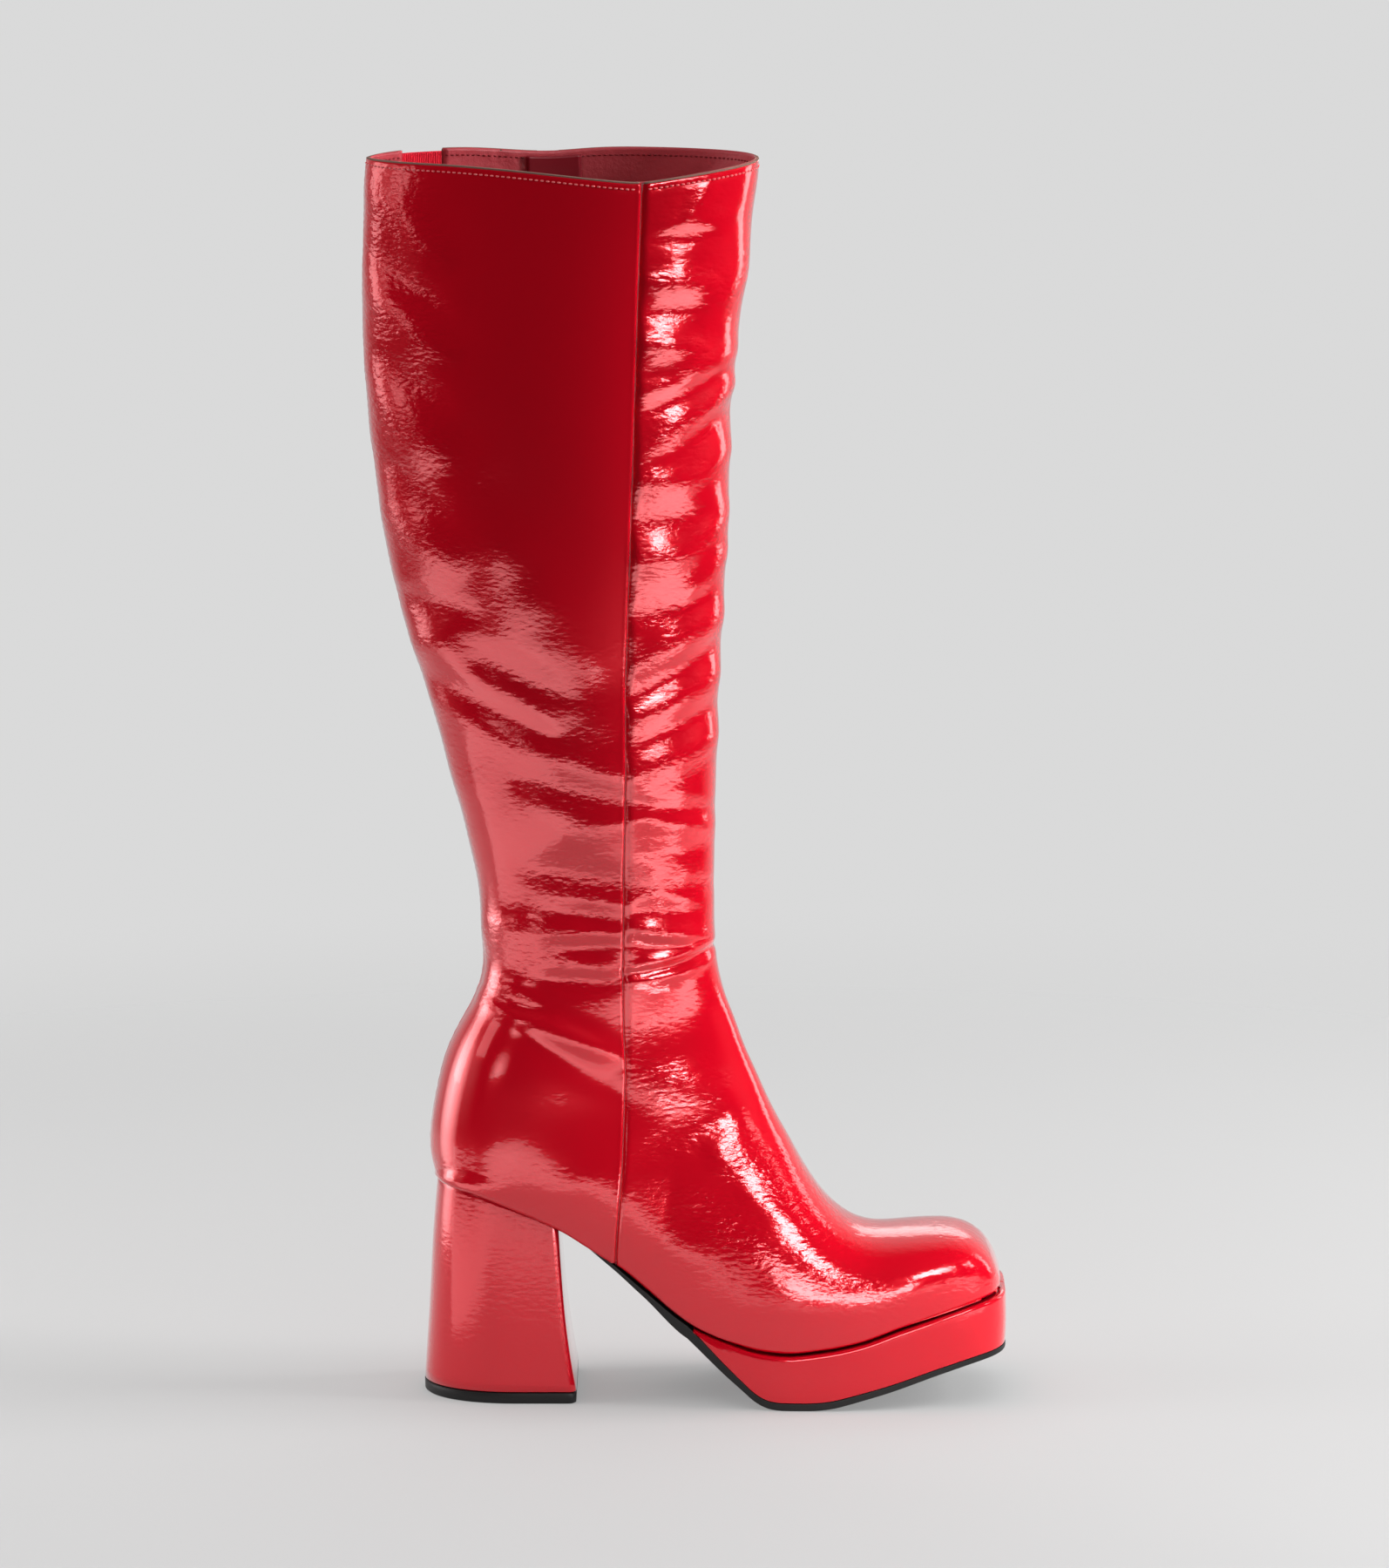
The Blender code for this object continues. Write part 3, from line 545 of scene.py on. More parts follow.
@dataclass(frozen=True)
class Last:
    """The leg and foot shape, from tables of sections."""

    toe_x: float = 233.6
    heel_x: float = 1.7
    heel_round_x: float = 28.0
    heel_round_power: float = 2.3
    toe_round_x: float = 195.0
    toe_round_power: float = 4.5
    front_power: float = 2.1
    rim_dip: float = 6.5
    rim_dip_x: float = 86.0
    rim_dip_reach: float = 82.0
    rim_lift: float = 0.9
    zip_dip: float = 1.6
    zip_dip_x: float = 47.0
    zip_dip_reach: float = 16.0
    rim_dip_power: float = 1.4
    rim_half: float = 41.0
    # Where the inner side's own dip starts and is full, and where its rise at the back does.
    rim_inner_y: Pair = (0.0, 22.0)
    rim_lift_x: Pair = (34.0, 8.0)
    # Height of the upper's bottom edge along the foot.
    feather: Table = (
        (1.7, 92.0), (15.0, 90.2), (30.0, 85.3), (51.0, 76.0), (73.0, 59.5), (86.0, 48.5),
        (107.0, 32.5), (121.0, 27.0), (136.0, 23.2), (146.0, 22.6), (159.0, 24.0), (175.0, 27.2),
        (192.0, 33.0), (210.0, 38.5), (224.0, 42.5), (236.0, 45.2),
    )
    # Half widths of that edge along the foot: x, outer side, inner side.
    widths: Table = (
        (1.7, 27.5, 27.5), (28.0, 27.5, 27.5), (60.0, 27.6, 25.6), (82.0, 29.2, 25.4),
        (105.0, 33.2, 29.5), (128.0, 38.3, 36.2), (147.0, 41.2, 40.2), (164.0, 41.6, 41.8),
        (180.0, 40.6, 41.8), (195.0, 38.6, 40.4), (208.0, 36.0, 38.4), (236.0, 30.0, 33.5),
    )
    # Shaft sections: back x and z, front x and z, half width, its share from the back, back power.
    shaft: Table = (
        (-26.0, 511.0, 134.3, 511.0, 41.0, 0.60, 1.75),
        (-27.2, 465.0, 128.5, 465.0, 43.0, 0.57, 1.80),
        (-26.7, 425.0, 124.0, 425.0, 44.0, 0.55, 1.85),
        (-22.0, 380.0, 121.6, 380.0, 42.5, 0.54, 1.90),
        (-14.0, 334.0, 120.0, 336.0, 39.5, 0.53, 1.95),
        (-3.0, 297.0, 118.0, 303.0, 36.8, 0.52, 2.0), (9.0, 255.0, 116.8, 265.0, 34.0, 0.52, 2.05),
        (17.5, 218.0, 115.9, 228.0, 32.0, 0.52, 2.10),
        (20.6, 190.0, 115.7, 200.0, 31.0, 0.52, 2.15), (19.5, 174.0, 115.7, 190.0, 31.5, 0.50, 2.2),
        (13.0, 158.0, 116.3, 182.0, 32.0, 0.48, 2.2), (6.2, 144.0, 117.2, 177.0, 32.3, 0.45, 2.2),
        (2.0, 130.0, 118.4, 172.0, 32.5, 0.42, 2.2), (-0.8, 114.0, 119.6, 168.0, 32.5, 0.38, 2.2),
        (-0.8, 101.0, 120.8, 164.0, 32.2, 0.36, 2.25), (1.7, 92.0, 122.0, 160.0, 32.0, 0.34, 2.30),
    )
    # Foot sections: feather x, ridge x and z, outer and inner half width, its share from the
    # base, base and top power.
    foot: Table = (
        (4.0, 122.9, 157.7, 31.9, 31.9, 0.33, 1.9, 2.1),
        (10.0, 125.0, 152.5, 31.8, 31.8, 0.32, 1.6, 2.1),
        (16.5, 126.5, 148.8, 31.6, 31.6, 0.31, 1.5, 2.1),
        (24.0, 128.0, 145.0, 31.5, 31.5, 0.30, 1.5, 2.1),
        (40.0, 131.0, 138.0, 31.4, 31.2, 0.28, 1.5, 2.1),
        (51.0, 133.2, 133.2, 31.7, 31.3, 0.27, 1.5, 2.1),
        (66.0, 136.0, 127.0, 32.7, 32.0, 0.27, 1.6, 2.1),
        (84.0, 139.2, 119.8, 34.7, 33.6, 0.26, 1.7, 2.1),
        (105.0, 143.0, 112.0, 38.0, 37.0, 0.26, 1.8, 2.1),
        (128.0, 148.5, 102.0, 41.8, 41.0, 0.25, 2.0, 2.1),
        (147.0, 155.0, 89.8, 43.7, 43.2, 0.25, 2.2, 2.1),
        (164.0, 164.0, 77.2, 43.9, 44.2, 0.27, 2.3, 2.2),
        (180.0, 177.0, 68.6, 42.8, 43.9, 0.30, 2.3, 2.4),
        (195.0, 192.0, 68.3, 40.6, 42.4, 0.34, 2.3, 2.5),
        (208.0, 206.0, 69.0, 37.4, 40.0, 0.36, 2.3, 2.6),
        (219.0, 217.0, 68.2, 33.6, 36.6, 0.38, 2.3, 2.6),
        (227.0, 225.0, 64.6, 28.8, 31.8, 0.40, 2.3, 2.6),
        (231.5, 230.5, 58.5, 22.8, 25.4, 0.40, 2.3, 2.6),
        (233.2, 233.9, 51.0, 15.8, 17.6, 0.40, 2.3, 2.6),
    )

    def height(self, x: Array) -> Array:
        """Height of the upper's bottom edge at places along the foot."""
        return smooth_table(self.feather, x)

    def half_width(self, x: Array, side: Side, grow: Array | float = 0.0) -> Array:
        """Half width of the upper's bottom edge, its ends rounded.

        Args:
            x: Places along the foot.
            side: Outer or inner side.
            grow: How much wider and longer the outline is made.

        Returns:
            Distance of the edge from the middle plane.
        """
        column = 1 if side is Side.LATERAL else 2
        table = tuple((row[0], row[column]) for row in self.widths)
        back = (self.heel_round_x - x) / (self.heel_round_x - self.heel_x + grow)
        front = (x - self.toe_round_x) / (self.toe_x - self.toe_round_x + grow)
        ends = quarter_round(back, self.heel_round_power)
        ends = ends * quarter_round(front, self.toe_round_power)
        return (smooth_table(table, x) + grow) * ends

    def collar_dip(self, x: Array, y: Array) -> Array:
        """How far the collar sags at the side seam and the zip, less its rise at the back of the
        inner side: a pointed dip on the outer side, and a bell and a smooth step on the inner.

        Args:
            x: Places along the boot.
            y: Places across it.

        Returns:
            The sag at the rim, in millimetres.
        """
        near = np.clip(1 - np.abs(x - self.rim_dip_x) / self.rim_dip_reach, 0, 1)
        outer = np.clip(-y / self.rim_half, 0, 1)
        lift = self.rim_lift * ease(*self.rim_lift_x, x)
        sag = self.zip_dip * np.exp(-(((x - self.zip_dip_x) / self.zip_dip_reach) ** 2))
        inner = (sag - lift) * ease(*self.rim_inner_y, y)
        return self.rim_dip * outer * near**self.rim_dip_power + inner


@dataclass(frozen=True)
class Fold:
    """A soft ridge or trough of the leather, placed from one end to the other."""

    x0: float
    z0: float
    x1: float
    z1: float
    width: float
    height: float
    bow: float = 0.0
    reach: Reach = Reach.LATERAL
    # Share of the width left at the ends, and the power of the fade towards them.
    end_width = 0.55
    fade_power = 0.95
    # Where the fold starts and is full past the middle plane, and ahead of the side seam.
    past_middle = (-3.0, 6.0)
    past_seam = (-1.0, 3.0)

    def rise(self, points: Array) -> Array:
        """Height of the fold over a grid: a bell across its bowed line, which narrows and fades
        as a half sine towards both ends.

        Args:
            points: The grid's places.

        Returns:
            Rise along the surface's normal, in millimetres.
        """
        run = np.array([self.x1 - self.x0, self.z1 - self.z0])
        size = float(np.hypot(*run))
        run = run / size
        x, y, z = points[..., 0] - self.x0, points[..., 1], points[..., 2] - self.z0
        t = (x * run[0] + z * run[1]) / size
        across = z * run[0] - x * run[1] - 4 * self.bow * t * (1 - t)
        leaf = np.sin(math.pi * np.clip(t, 0, 1))
        width = self.width * (self.end_width + (1 - self.end_width) * leaf)
        rise = self.height * np.exp(-((across / width) ** 2)) * leaf**self.fade_power
        if self.reach is not Reach.BOTH:
            rise = rise * ease(*self.past_middle, -y)
        if self.reach is Reach.FRONT:
            ahead = points[..., 0] - line_x(SIDE_SEAM, points[..., 2])
            rise = rise * ease(*self.past_seam, ahead)
        return rise


def lay(reach: Reach, *rows: tuple[float, ...]) -> tuple[Fold, ...]:
    """Folds over the same sides, from rows of x0, z0, x1, z1, width, height and perhaps bow."""
    return tuple(Fold(*row, reach=reach) for row in rows)


@dataclass(frozen=True)
class Creases:
    """Every fold of the leather, with the small waves between them."""

    seed: int = 7
    wave_count: int = 14
    wave_lengths: Pair = (80.0, 18.0)
    wave_slope: float = 0.0016
    wave_ways: Triple = (0.7, 0.7, 1.4)
    inner_share: float = 0.8
    broad: float = 12.0
    # Where the smooth middle of the back panel starts: height and x, from the collar down.
    smooth_from: Table = ((511.0, -2.0), (430.0, 8.0), (366.0, 22.0), (297.0, 56.0), (255.0, 84.0))
    # Where these start and are full: calm toe, flat back panel, heel and back edge.
    calm_x: Pair = (120.0, 175.0)
    calm_z: Pair = (150.0, 100.0)
    flat_x: Pair = (4.0, 24.0)
    flat_z: Pair = (252.0, 270.0)
    heel_top: Pair = (168.0, 154.0)
    heel_foot: Pair = (92.0, 106.0)
    edge_x: Pair = (8.0, -6.0)
    edge_z: Pair = (330.0, 380.0)
    behind_seam: Pair = (2.0, -2.0)
    # How much calmer the waves are on toe, back panel and heel, and the crinkle on the last two.
    calm_waves: Triple = (0.6, 0.9, 0.7)
    calm_crinkle: Pair = (0.85, 0.8)
    # Crinkle anywhere, for a millimetre of fold up to a limit, at cracks and back edge, and at most.
    crinkle_plain: float = 0.24
    crinkle_fold: float = 0.4
    fold_limit: float = 1.5
    crinkle_crack: float = 0.7
    crinkle_edge: float = 0.3
    crinkle_limit: float = 1.2
    folds: tuple[Fold, ...] = (
        # Broad shape of the heel counter, the ankle above it and the calf.
        *lay(
            Reach.LATERAL,
            (-10, 93, 96, 80, 30.0, 4.3), (6, 172, 108, 172, 26.0, -3.2),
            (8, 392, 70, 274, 20.0, 2.2), (30, 258, 116, 256, 28.0, 2.6),
        ),
        # Ankle, from the back seam to the side seam.
        *lay(
            Reach.LATERAL,
            (50, 205, 82, 206, 5.0, -0.9), (8, 193, 66, 191, 10.0, 1.5),
            (20, 198, 84, 196, 4.5, 1.3, 0.5), (45, 191, 82, 192, 4.0, -1.0),
            (34, 181, 82, 182, 4.5, 0.8), (38, 179, 82, 176, 5.0, -1.2),
            (17, 176, 47, 167, 3.0, 1.1), (20, 169, 50, 163, 2.8, -1.1),
            (6, 172, 84, 142, 5.5, 1.5, 1.5), (34, 157, 82, 127, 6.0, -0.5),
        ),
        # Ankle, from the side seam to the front, and the one crease that runs round it.
        *lay(
            Reach.FRONT,
            (78, 207, 112, 204, 4.0, -0.9), (76, 200, 118, 192, 4.0, 1.4),
            (76, 193, 108, 189, 3.5, -1.0), (76, 181, 120, 191, 3.0, 1.2, -0.5),
            (76, 176, 118, 184, 4.0, 1.0, -1.0),
        ),
        *lay(Reach.BOTH, (74, 179, 121, 189, 2.3, -2.2, -2.0)),
        # Lower leg.
        *lay(
            Reach.LATERAL,
            (32, 263, 90, 250, 7.0, -1.5), (50, 238, 86, 243, 6.0, 0.8),
            (32, 225, 92, 216, 8.0, -2.0), (56, 212, 86, 206, 4.0, 0.6),
            (34, 276, 86, 258, 8.0, 0.9),
        ),
        # Front of the shaft, from the collar down to the ankle.
        *lay(
            Reach.FRONT,
            (103, 488, 118, 508, 3.5, 0.8), (82, 496, 92, 507, 2.6, 0.6),
            (92, 487, 128, 491, 4.5, 0.5), (86, 481, 120, 483, 4.5, -0.8),
            (84, 465, 118, 464, 6.0, 1.4), (85, 452, 114, 453, 5.0, -1.1),
            (82, 441, 114, 437, 5.0, 1.2), (108, 446, 154, 492, 7.0, 1.2),
            (82, 429, 110, 425, 3.5, -0.5), (78, 418, 140, 440, 5.0, 1.0),
            (80, 409, 144, 433, 4.5, -1.1), (78, 390, 154, 442, 6.0, 1.6),
            (90, 386, 152, 430, 5.5, -1.2), (74, 383, 115, 384, 7.0, 1.4),
            (100, 378, 152, 414, 5.0, 1.1), (75, 366, 120, 368, 6.5, -1.4),
            (73, 350, 112, 352, 7.0, 1.4), (94, 348, 152, 390, 6.0, 1.2),
            (73, 327, 118, 334, 6.5, -1.3), (100, 330, 150, 380, 5.0, 1.1),
            (71, 300, 146, 340, 6.5, 1.4), (72, 288, 132, 321, 5.5, -1.2),
            (71, 281, 144, 312, 6.0, 1.1), (73, 270, 132, 293, 5.0, -1.1),
            (73, 260, 132, 280, 6.0, 0.9), (76, 253, 126, 243, 4.0, -0.6),
            (76, 246, 126, 236, 4.0, 0.5), (76, 231, 126, 229, 3.5, -0.4),
            (96, 216, 128, 211, 4.0, -0.6),
        ),
        # Back of the shaft: soft bulges at its edge, and slanting hollows lower down.
        *lay(
            Reach.LATERAL,
            (-18, 505, -10, 452, 6.0, -0.8), (-30, 504, 12, 470, 9.0, 1.9),
            (-28, 478, 12, 448, 7.0, -1.7), (-28, 460, 14, 432, 8.0, 1.9),
            (-28, 436, 12, 412, 7.0, -1.7), (-26, 418, 14, 388, 9.0, 1.9),
            (-24, 394, 12, 366, 7.0, -1.6), (-22, 372, 16, 344, 9.0, 1.7),
            (-20, 335, 22, 328, 6.5, -1.2), (-16, 314, 22, 313, 7.0, 1.0),
            (6, 319, 62, 293, 6.5, -1.2), (6, 309, 56, 282, 6.0, 0.9),
            (-8, 304, 54, 276, 6.5, -1.3), (-6, 294, 56, 267, 7.5, 1.0),
        ),
        # Instep and vamp.
        *lay(
            Reach.LATERAL,
            (74, 138, 126, 128, 10.0, 1.5), (82, 102, 126, 122, 8.0, -0.9),
            (112, 112, 126, 92, 5.0, 0.7), (124, 92, 156, 72, 5.0, 0.5),
            (118, 140, 130, 84, 7.0, 0.5), (138, 108, 150, 60, 8.0, -0.4),
        ),
    )
    # Bands of the vamp where the coat is cracked; their height is a share of cracks.
    cracks: tuple[Fold, ...] = lay(
        Reach.LATERAL,
        (110, 124, 186, 52, 10.0, 1.0), (102, 92, 152, 50, 9.0, 1.0), (138, 60, 200, 46, 7.0, 0.8),
        (204, 70, 232, 49, 8.0, 0.8),
    )

    def waves(self, points: Array) -> Array:
        """Small waves: a sum of sines of the place, mostly across the leg, from a fixed seed.

        Args:
            points: The grid's places.

        Returns:
            Rise along the surface's normal, in millimetres.
        """
        pick = np.random.default_rng(self.seed)
        total = np.zeros(points.shape[:-1])
        for length in np.geomspace(*self.wave_lengths, self.wave_count):
            way = unit(pick.normal(size=3) * np.array(self.wave_ways))
            phase = pick.uniform(0, 2 * math.pi)
            turn = 2 * math.pi * (points @ way) / length + phase
            total += self.wave_slope * length * np.sin(turn)
        return total

    def fold_rise(self, points: Array, folds: list[Fold]) -> Array:
        """Rise of some folds, with weaker twins of the one-sided ones on the inner side.

        Args:
            points: The grid's places.
            folds: The folds to add up.

        Returns:
            Rise along the normal in millimetres.
        """
        mirrored = points * np.array([1.0, -1.0, 1.0])
        own = sum(f.rise(points) for f in folds)
        twins = sum(f.rise(mirrored) for f in folds if f.reach is not Reach.BOTH)
        return own + self.inner_share * twins

    def rise(self, points: Array) -> tuple[Array, Array]:
        """Rise of the leather over the last, and how crinkled it is there.

        Args:
            points: The grid's places.

        Returns:
            Rise along the normal in millimetres, and a share from 0 to about 1.
        """
        narrow = self.fold_rise(points, [f for f in self.folds if f.width < self.broad])
        broad = self.fold_rise(points, [f for f in self.folds if f.width >= self.broad])
        cracked = np.minimum(self.fold_rise(points, list(self.cracks)), 1.0)
        x, z = points[..., 0], points[..., 2]
        quarter = ease(*self.behind_seam, x - line_x(SIDE_SEAM, z))
        calm = ease(*self.calm_x, x) * ease(*self.calm_z, z)
        flat = ease(*self.flat_x, x - line_x(self.smooth_from, z)) * ease(*self.flat_z, z) * quarter
        heel = ease(*self.heel_top, z) * ease(*self.heel_foot, z) * quarter
        edge = ease(*self.edge_x, x) * ease(*self.edge_z, z)
        waves = self.waves(points)
        for zone, share in zip((calm, flat, heel), self.calm_waves):
            waves = waves * (1 - share * zone)
        folded = np.minimum(np.abs(narrow), self.fold_limit)
        crinkle = self.crinkle_plain + self.crinkle_fold * folded
        crinkle = crinkle + self.crinkle_crack * cracked + self.crinkle_edge * edge
        crinkle = np.clip(crinkle, 0.0, self.crinkle_limit)
        for zone, share in zip((flat, heel), self.calm_crinkle):
            crinkle = crinkle * (1 - share * zone)
        return narrow + broad + waves, crinkle


@dataclass
class UpperForm:
    """The upper's outside as a dense grid: rows from the collar to the toe, columns from the
    outer base over the front ridge to the inner base, with the leather's folds on it."""

    last: Last
    creases: Creases
    half_columns: int = 170
    row_step: float = 1.6
    # Places of the close rows at the rim and of the first row below them, and least gap at the toe.
    rim_rows: tuple[float, ...] = (0.0, 0.5, 1.1, 1.8, 2.6, 3.5, 4.4, 5.4)
    first_row: float = 7.0
    last_gap: float = 1.0
    # Number of the section at the back of the heel seat.
    heel_row: int = 15
    # Distances before the last section between which the sections stop being softened.
    firm_toe: Pair = (90.0, 40.0)
    section_spread: float = 5.0
    across_spread: float = 3.5
    along_spread: float = 3.8
    # Shares of the rows between which softening gives way at the toe, and how far it does.
    across_fade: Pair = (0.85, 0.95)
    across_loss: float = 0.7
    along_fade: Pair = (0.82, 0.94)
    along_loss: float = 0.8
    base_margin: float = 14.0
    # Half widths of the toe's front edge, outer and inner, and the rows that lead down to it.
    toe_reach: Pair = (30.0, 33.5)
    toe_shares: tuple[float, ...] = (0.25, 0.5, 0.75, 1.0)

    def __post_init__(self) -> None:
        """Works the grid out from the last's sections."""
        sections = self.section_table()
        self.stations = self.row_stations(sections)
        self.smooth = self.smooth_form(self.section_grid(sections))
        self.normals = self.outward(self.smooth)
        rise, self.crinkle = self.creases.rise(self.smooth)
        self.points = self.smooth + self.normals * rise[..., None]
        self.arc = lengths_along(self.smooth)
        self.rows, self.columns = self.arc.shape

    def section_table(self) -> Array:
        """Every section of shaft and foot in one form.

        Returns:
            Rows of base x and z, top x and z, both half widths, share and both powers.
        """
        shaft = np.array(self.last.shaft)
        foot = np.array(self.last.foot)
        front = np.full(len(shaft), self.last.front_power)
        upper = np.column_stack([shaft[:, :5], shaft[:, 4:7], front])
        lower = np.column_stack([foot[:, 0], self.last.height(foot[:, 0]), foot[:, 1:]])
        return np.vstack([upper, lower])

    def row_stations(self, table: Array) -> Array:
        """Places of the grid's rows, as mean distance travelled from the collar.

        Args:
            table: Every section, as section_table gives them.

        Returns:
            One place a row.
        """
        base, top = table[:, 0:2], table[:, 2:4]
        steps = [np.linalg.norm(np.diff(line, axis=0), axis=1) for line in (base, top)]
        self.knots = np.concatenate([[0.0], np.cumsum((steps[0] + steps[1]) / 2)])
        rest = np.arange(self.first_row, self.knots[-1] - self.last_gap, self.row_step)
        return np.concatenate([self.rim_rows, rest, self.knots[-1:]])

    def section_grid(self, table: Array) -> Array:
        """The plain last: on each row a straight line from base to top carries the half width,
        which swells from the base by one superellipse and closes to the top by another.

        Args:
            table: Every section, as section_table gives them.

        Returns:
            Rows by columns by three.
        """
        at, knots, heel = self.stations, self.knots, self.heel_row
        columns = [natural_spline(knots, table[:, k], at) for k in range(2, table.shape[1])]
        firm = ease(*(knots[-1] - distance for distance in self.firm_toe), at)
        columns = [firm * c + (1 - firm) * soften(c, self.section_spread, 0) for c in columns]
        top_x, top_z, lateral, medial, share, base_power, top_power = (c[:, None] for c in columns)
        leg = at <= knots[heel]
        leg_x, leg_z = (
            natural_spline(knots[: heel + 1], table[: heel + 1, k], at) for k in (0, 1)
        )
        foot_x = natural_spline(knots[heel:], table[heel:, 0], at)
        base_x = np.where(leg, leg_x, foot_x)
        base_z = np.where(leg, leg_z, self.last.height(base_x))
        t = np.linspace(0, 1, self.half_columns + 1)[None, :]
        s = (1 - np.cos(math.pi * t)) / 2
        x = base_x[:, None] + s * (top_x - base_x[:, None])
        z = base_z[:, None] + s * (top_z - base_z[:, None])
        swell = quarter_round(1 - s / share, base_power)
        close = quarter_round((s - share) / (1 - share), top_power)
        halves = []
        for side, widest in ((Side.LATERAL, lateral), (Side.MEDIAL, medial)):
            start = np.where(leg, 0.0, self.last.half_width(base_x, side))[:, None]
            y = side.value * (start + (widest - start) * swell) * close
            halves.append(np.stack([x, y, z], axis=-1))
        grid = np.concatenate([halves[0], halves[1][:, -2::-1]], axis=1)
        fade = np.clip(1 - at / knots[1], 0, 1)[:, None]
        grid[..., 2] -= self.last.collar_dip(grid[..., 0], grid[..., 1]) * fade
        return np.concatenate([grid, self.toe_rows(grid[-1])])

    def toe_rows(self, last_row: Array) -> Array:
        """Rows that close the front of the toe down to the feather line.

        Args:
            last_row: The grid's last row.

        Returns:
            A few more rows.
        """
        last = self.last
        y = np.linspace(last_row[0, 1], last_row[-1, 1], len(last_row))
        reach = np.where(y < 0, *self.toe_reach)
        length = last.toe_x - last.toe_round_x
        x = last.toe_round_x + length * quarter_round(np.abs(y) / reach, last.toe_round_power)
        edge = np.stack([x, y, last.height(x)], axis=-1)
        shares = np.array(self.toe_shares)[:, None, None]
        return last_row + shares * (edge - last_row)

    def smooth_form(self, grid: Array) -> Array:
        """Softens the grid across and along, less along near its bottom edge.

        Args:
            grid: The plain last.

        Returns:
            The softened grid.
        """
        down = np.arange(len(grid))[:, None] / len(grid)
        firm = ease(*self.across_fade, down)[..., None]
        soft = soften(grid, self.across_spread, 1)
        across = grid + (1 - self.across_loss * firm) * (soft - grid)
        arc = lengths_along(across)
        margin = np.minimum(arc, arc[:, -1:] - arc)
        toe = 1 - self.along_loss * ease(*self.along_fade, down)
        weight = (ease(0.0, self.base_margin, margin) * toe)[..., None]
        return across + weight * (soften(across, self.along_spread, 0) - across)

    @staticmethod
    def outward(grid: Array) -> Array:
        """Normals of a grid that point out of the boot.

        Args:
            grid: Rows by columns by three.

        Returns:
            One normal a place.
        """
        normal = unit(np.cross(np.gradient(grid, axis=1), np.gradient(grid, axis=0)))
        middle = grid.mean(axis=1, keepdims=True)
        sign = np.sign(np.sum(normal * (grid - middle)))
        return normal * sign

    def column_on(self, side: Side, line: Table) -> Array:
        """Column of each row that lies on a line drawn on one side of the boot.

        Args:
            side: Outer or inner side.
            line: The line as pairs of height and x, from the collar down.

        Returns:
            A column number a row, with a fraction; the side's base where the row starts ahead of
            the line.
        """
        ridge = self.half_columns
        if side is Side.LATERAL:
            numbers = np.arange(ridge + 1)
        else:
            numbers = np.arange(self.columns - 1, ridge - 1, -1)
        points = self.smooth[:, numbers]
        ahead = points[..., 0] - line_x(line, points[..., 2])
        ahead = np.maximum.accumulate(ahead, axis=1)
        return np.array([np.interp(0.0, row, numbers) for row in ahead])

    def arc_at(self, columns: Array) -> Array:
        """Distance along each row at a column number.

        Args:
            columns: A column number a row, with a fraction.

        Returns:
            One distance a row.
        """
        low = np.clip(columns.astype(int), 0, self.columns - 2)
        rows = np.arange(self.rows)
        share = columns - low
        return self.arc[rows, low] * (1 - share) + self.arc[rows, low + 1] * share

    def sample(self, distances: Array) -> tuple[Array, Array, Array]:
        """Places, normals and crinkle on each row at distances along it.

        Args:
            distances: Distances from the outer base, one run a row.

        Returns:
            Places, normals and crinkle share.
        """
        numbers = np.stack(
            [np.interp(d, a, np.arange(self.columns)) for d, a in zip(distances, self.arc)]
        )
        low = np.clip(numbers.astype(int), 0, self.columns - 2)
        share = (numbers - low)[..., None]
        rows = np.arange(self.rows)[:, None]
        points, normals, crinkle = (
            grid[rows, low] * (1 - share) + grid[rows, low + 1] * share
            for grid in (self.points, self.normals, self.crinkle[..., None])
        )
        return points, unit(normals), crinkle[..., 0]


@dataclass(frozen=True)
class Edge:
    """How a panel's edge is turned: rolled down over a reach, with a raised lip beside it."""

    depth: float
    reach: float
    lip: float = 0.0
    lip_place: float = 1.1
    lip_width: float = 0.6
    pitch: float = 2.9
    pull: float = 0.3

    def offset(self, distance: Array, along: Array) -> Array:
        """Offset along the normal near the edge.

        Args:
            distance: Distance from the edge.
            along: Length along the edge, for the pull of its stitches.

        Returns:
            Offset in millimetres, down as the square of the nearness, up at the lip.
        """
        near = np.clip(1 - distance / self.reach, 0, 1)
        pull = 1 - self.pull + self.pull * np.cos(2 * math.pi * along / self.pitch)
        lip = self.lip * np.exp(-(((distance - self.lip_place) / self.lip_width) ** 2)) * pull
        return lip - self.depth * near * near


@dataclass(frozen=True)
class Beads:
    """A small rounded bar, for stitches and zip teeth: rings along it, sized by a superellipse."""

    length: float
    width: float
    height: float
    power: float
    around: int
    along: int
    # How much closer the rings are towards the ends.
    ring_power = 1.6

    def points(self, places: Array, ways: Array, outs: Array) -> Array:
        """The bar at many places.

        Args:
            places: Middle of each bar.
            ways: Which way each bar runs.
            outs: Which way is out for each bar.

        Returns:
            Bar by ring by point by three.
        """
        t = np.linspace(-1, 1, self.along)
        along = np.sign(t) * (1 - (1 - np.abs(t)) ** self.ring_power)
        size = quarter_round(np.abs(along), self.power)
        turn = 2 * math.pi * (np.arange(self.around) + 0.5) / self.around
        reach = math.sqrt(2.0) if self.around == 4 else 1.0
        side = size[:, None] * np.cos(turn) * self.width / 2 * reach
        rise = size[:, None] * np.sin(turn) * self.height / 2 * reach
        run = np.repeat(along[:, None] * self.length / 2, self.around, axis=1)
        sides = np.cross(outs, ways)
        return (
            places[:, None, None]
            + run[None, ..., None] * ways[:, None, None]
            + side[None, ..., None] * sides[:, None, None]
            + rise[None, ..., None] * outs[:, None, None]
        )


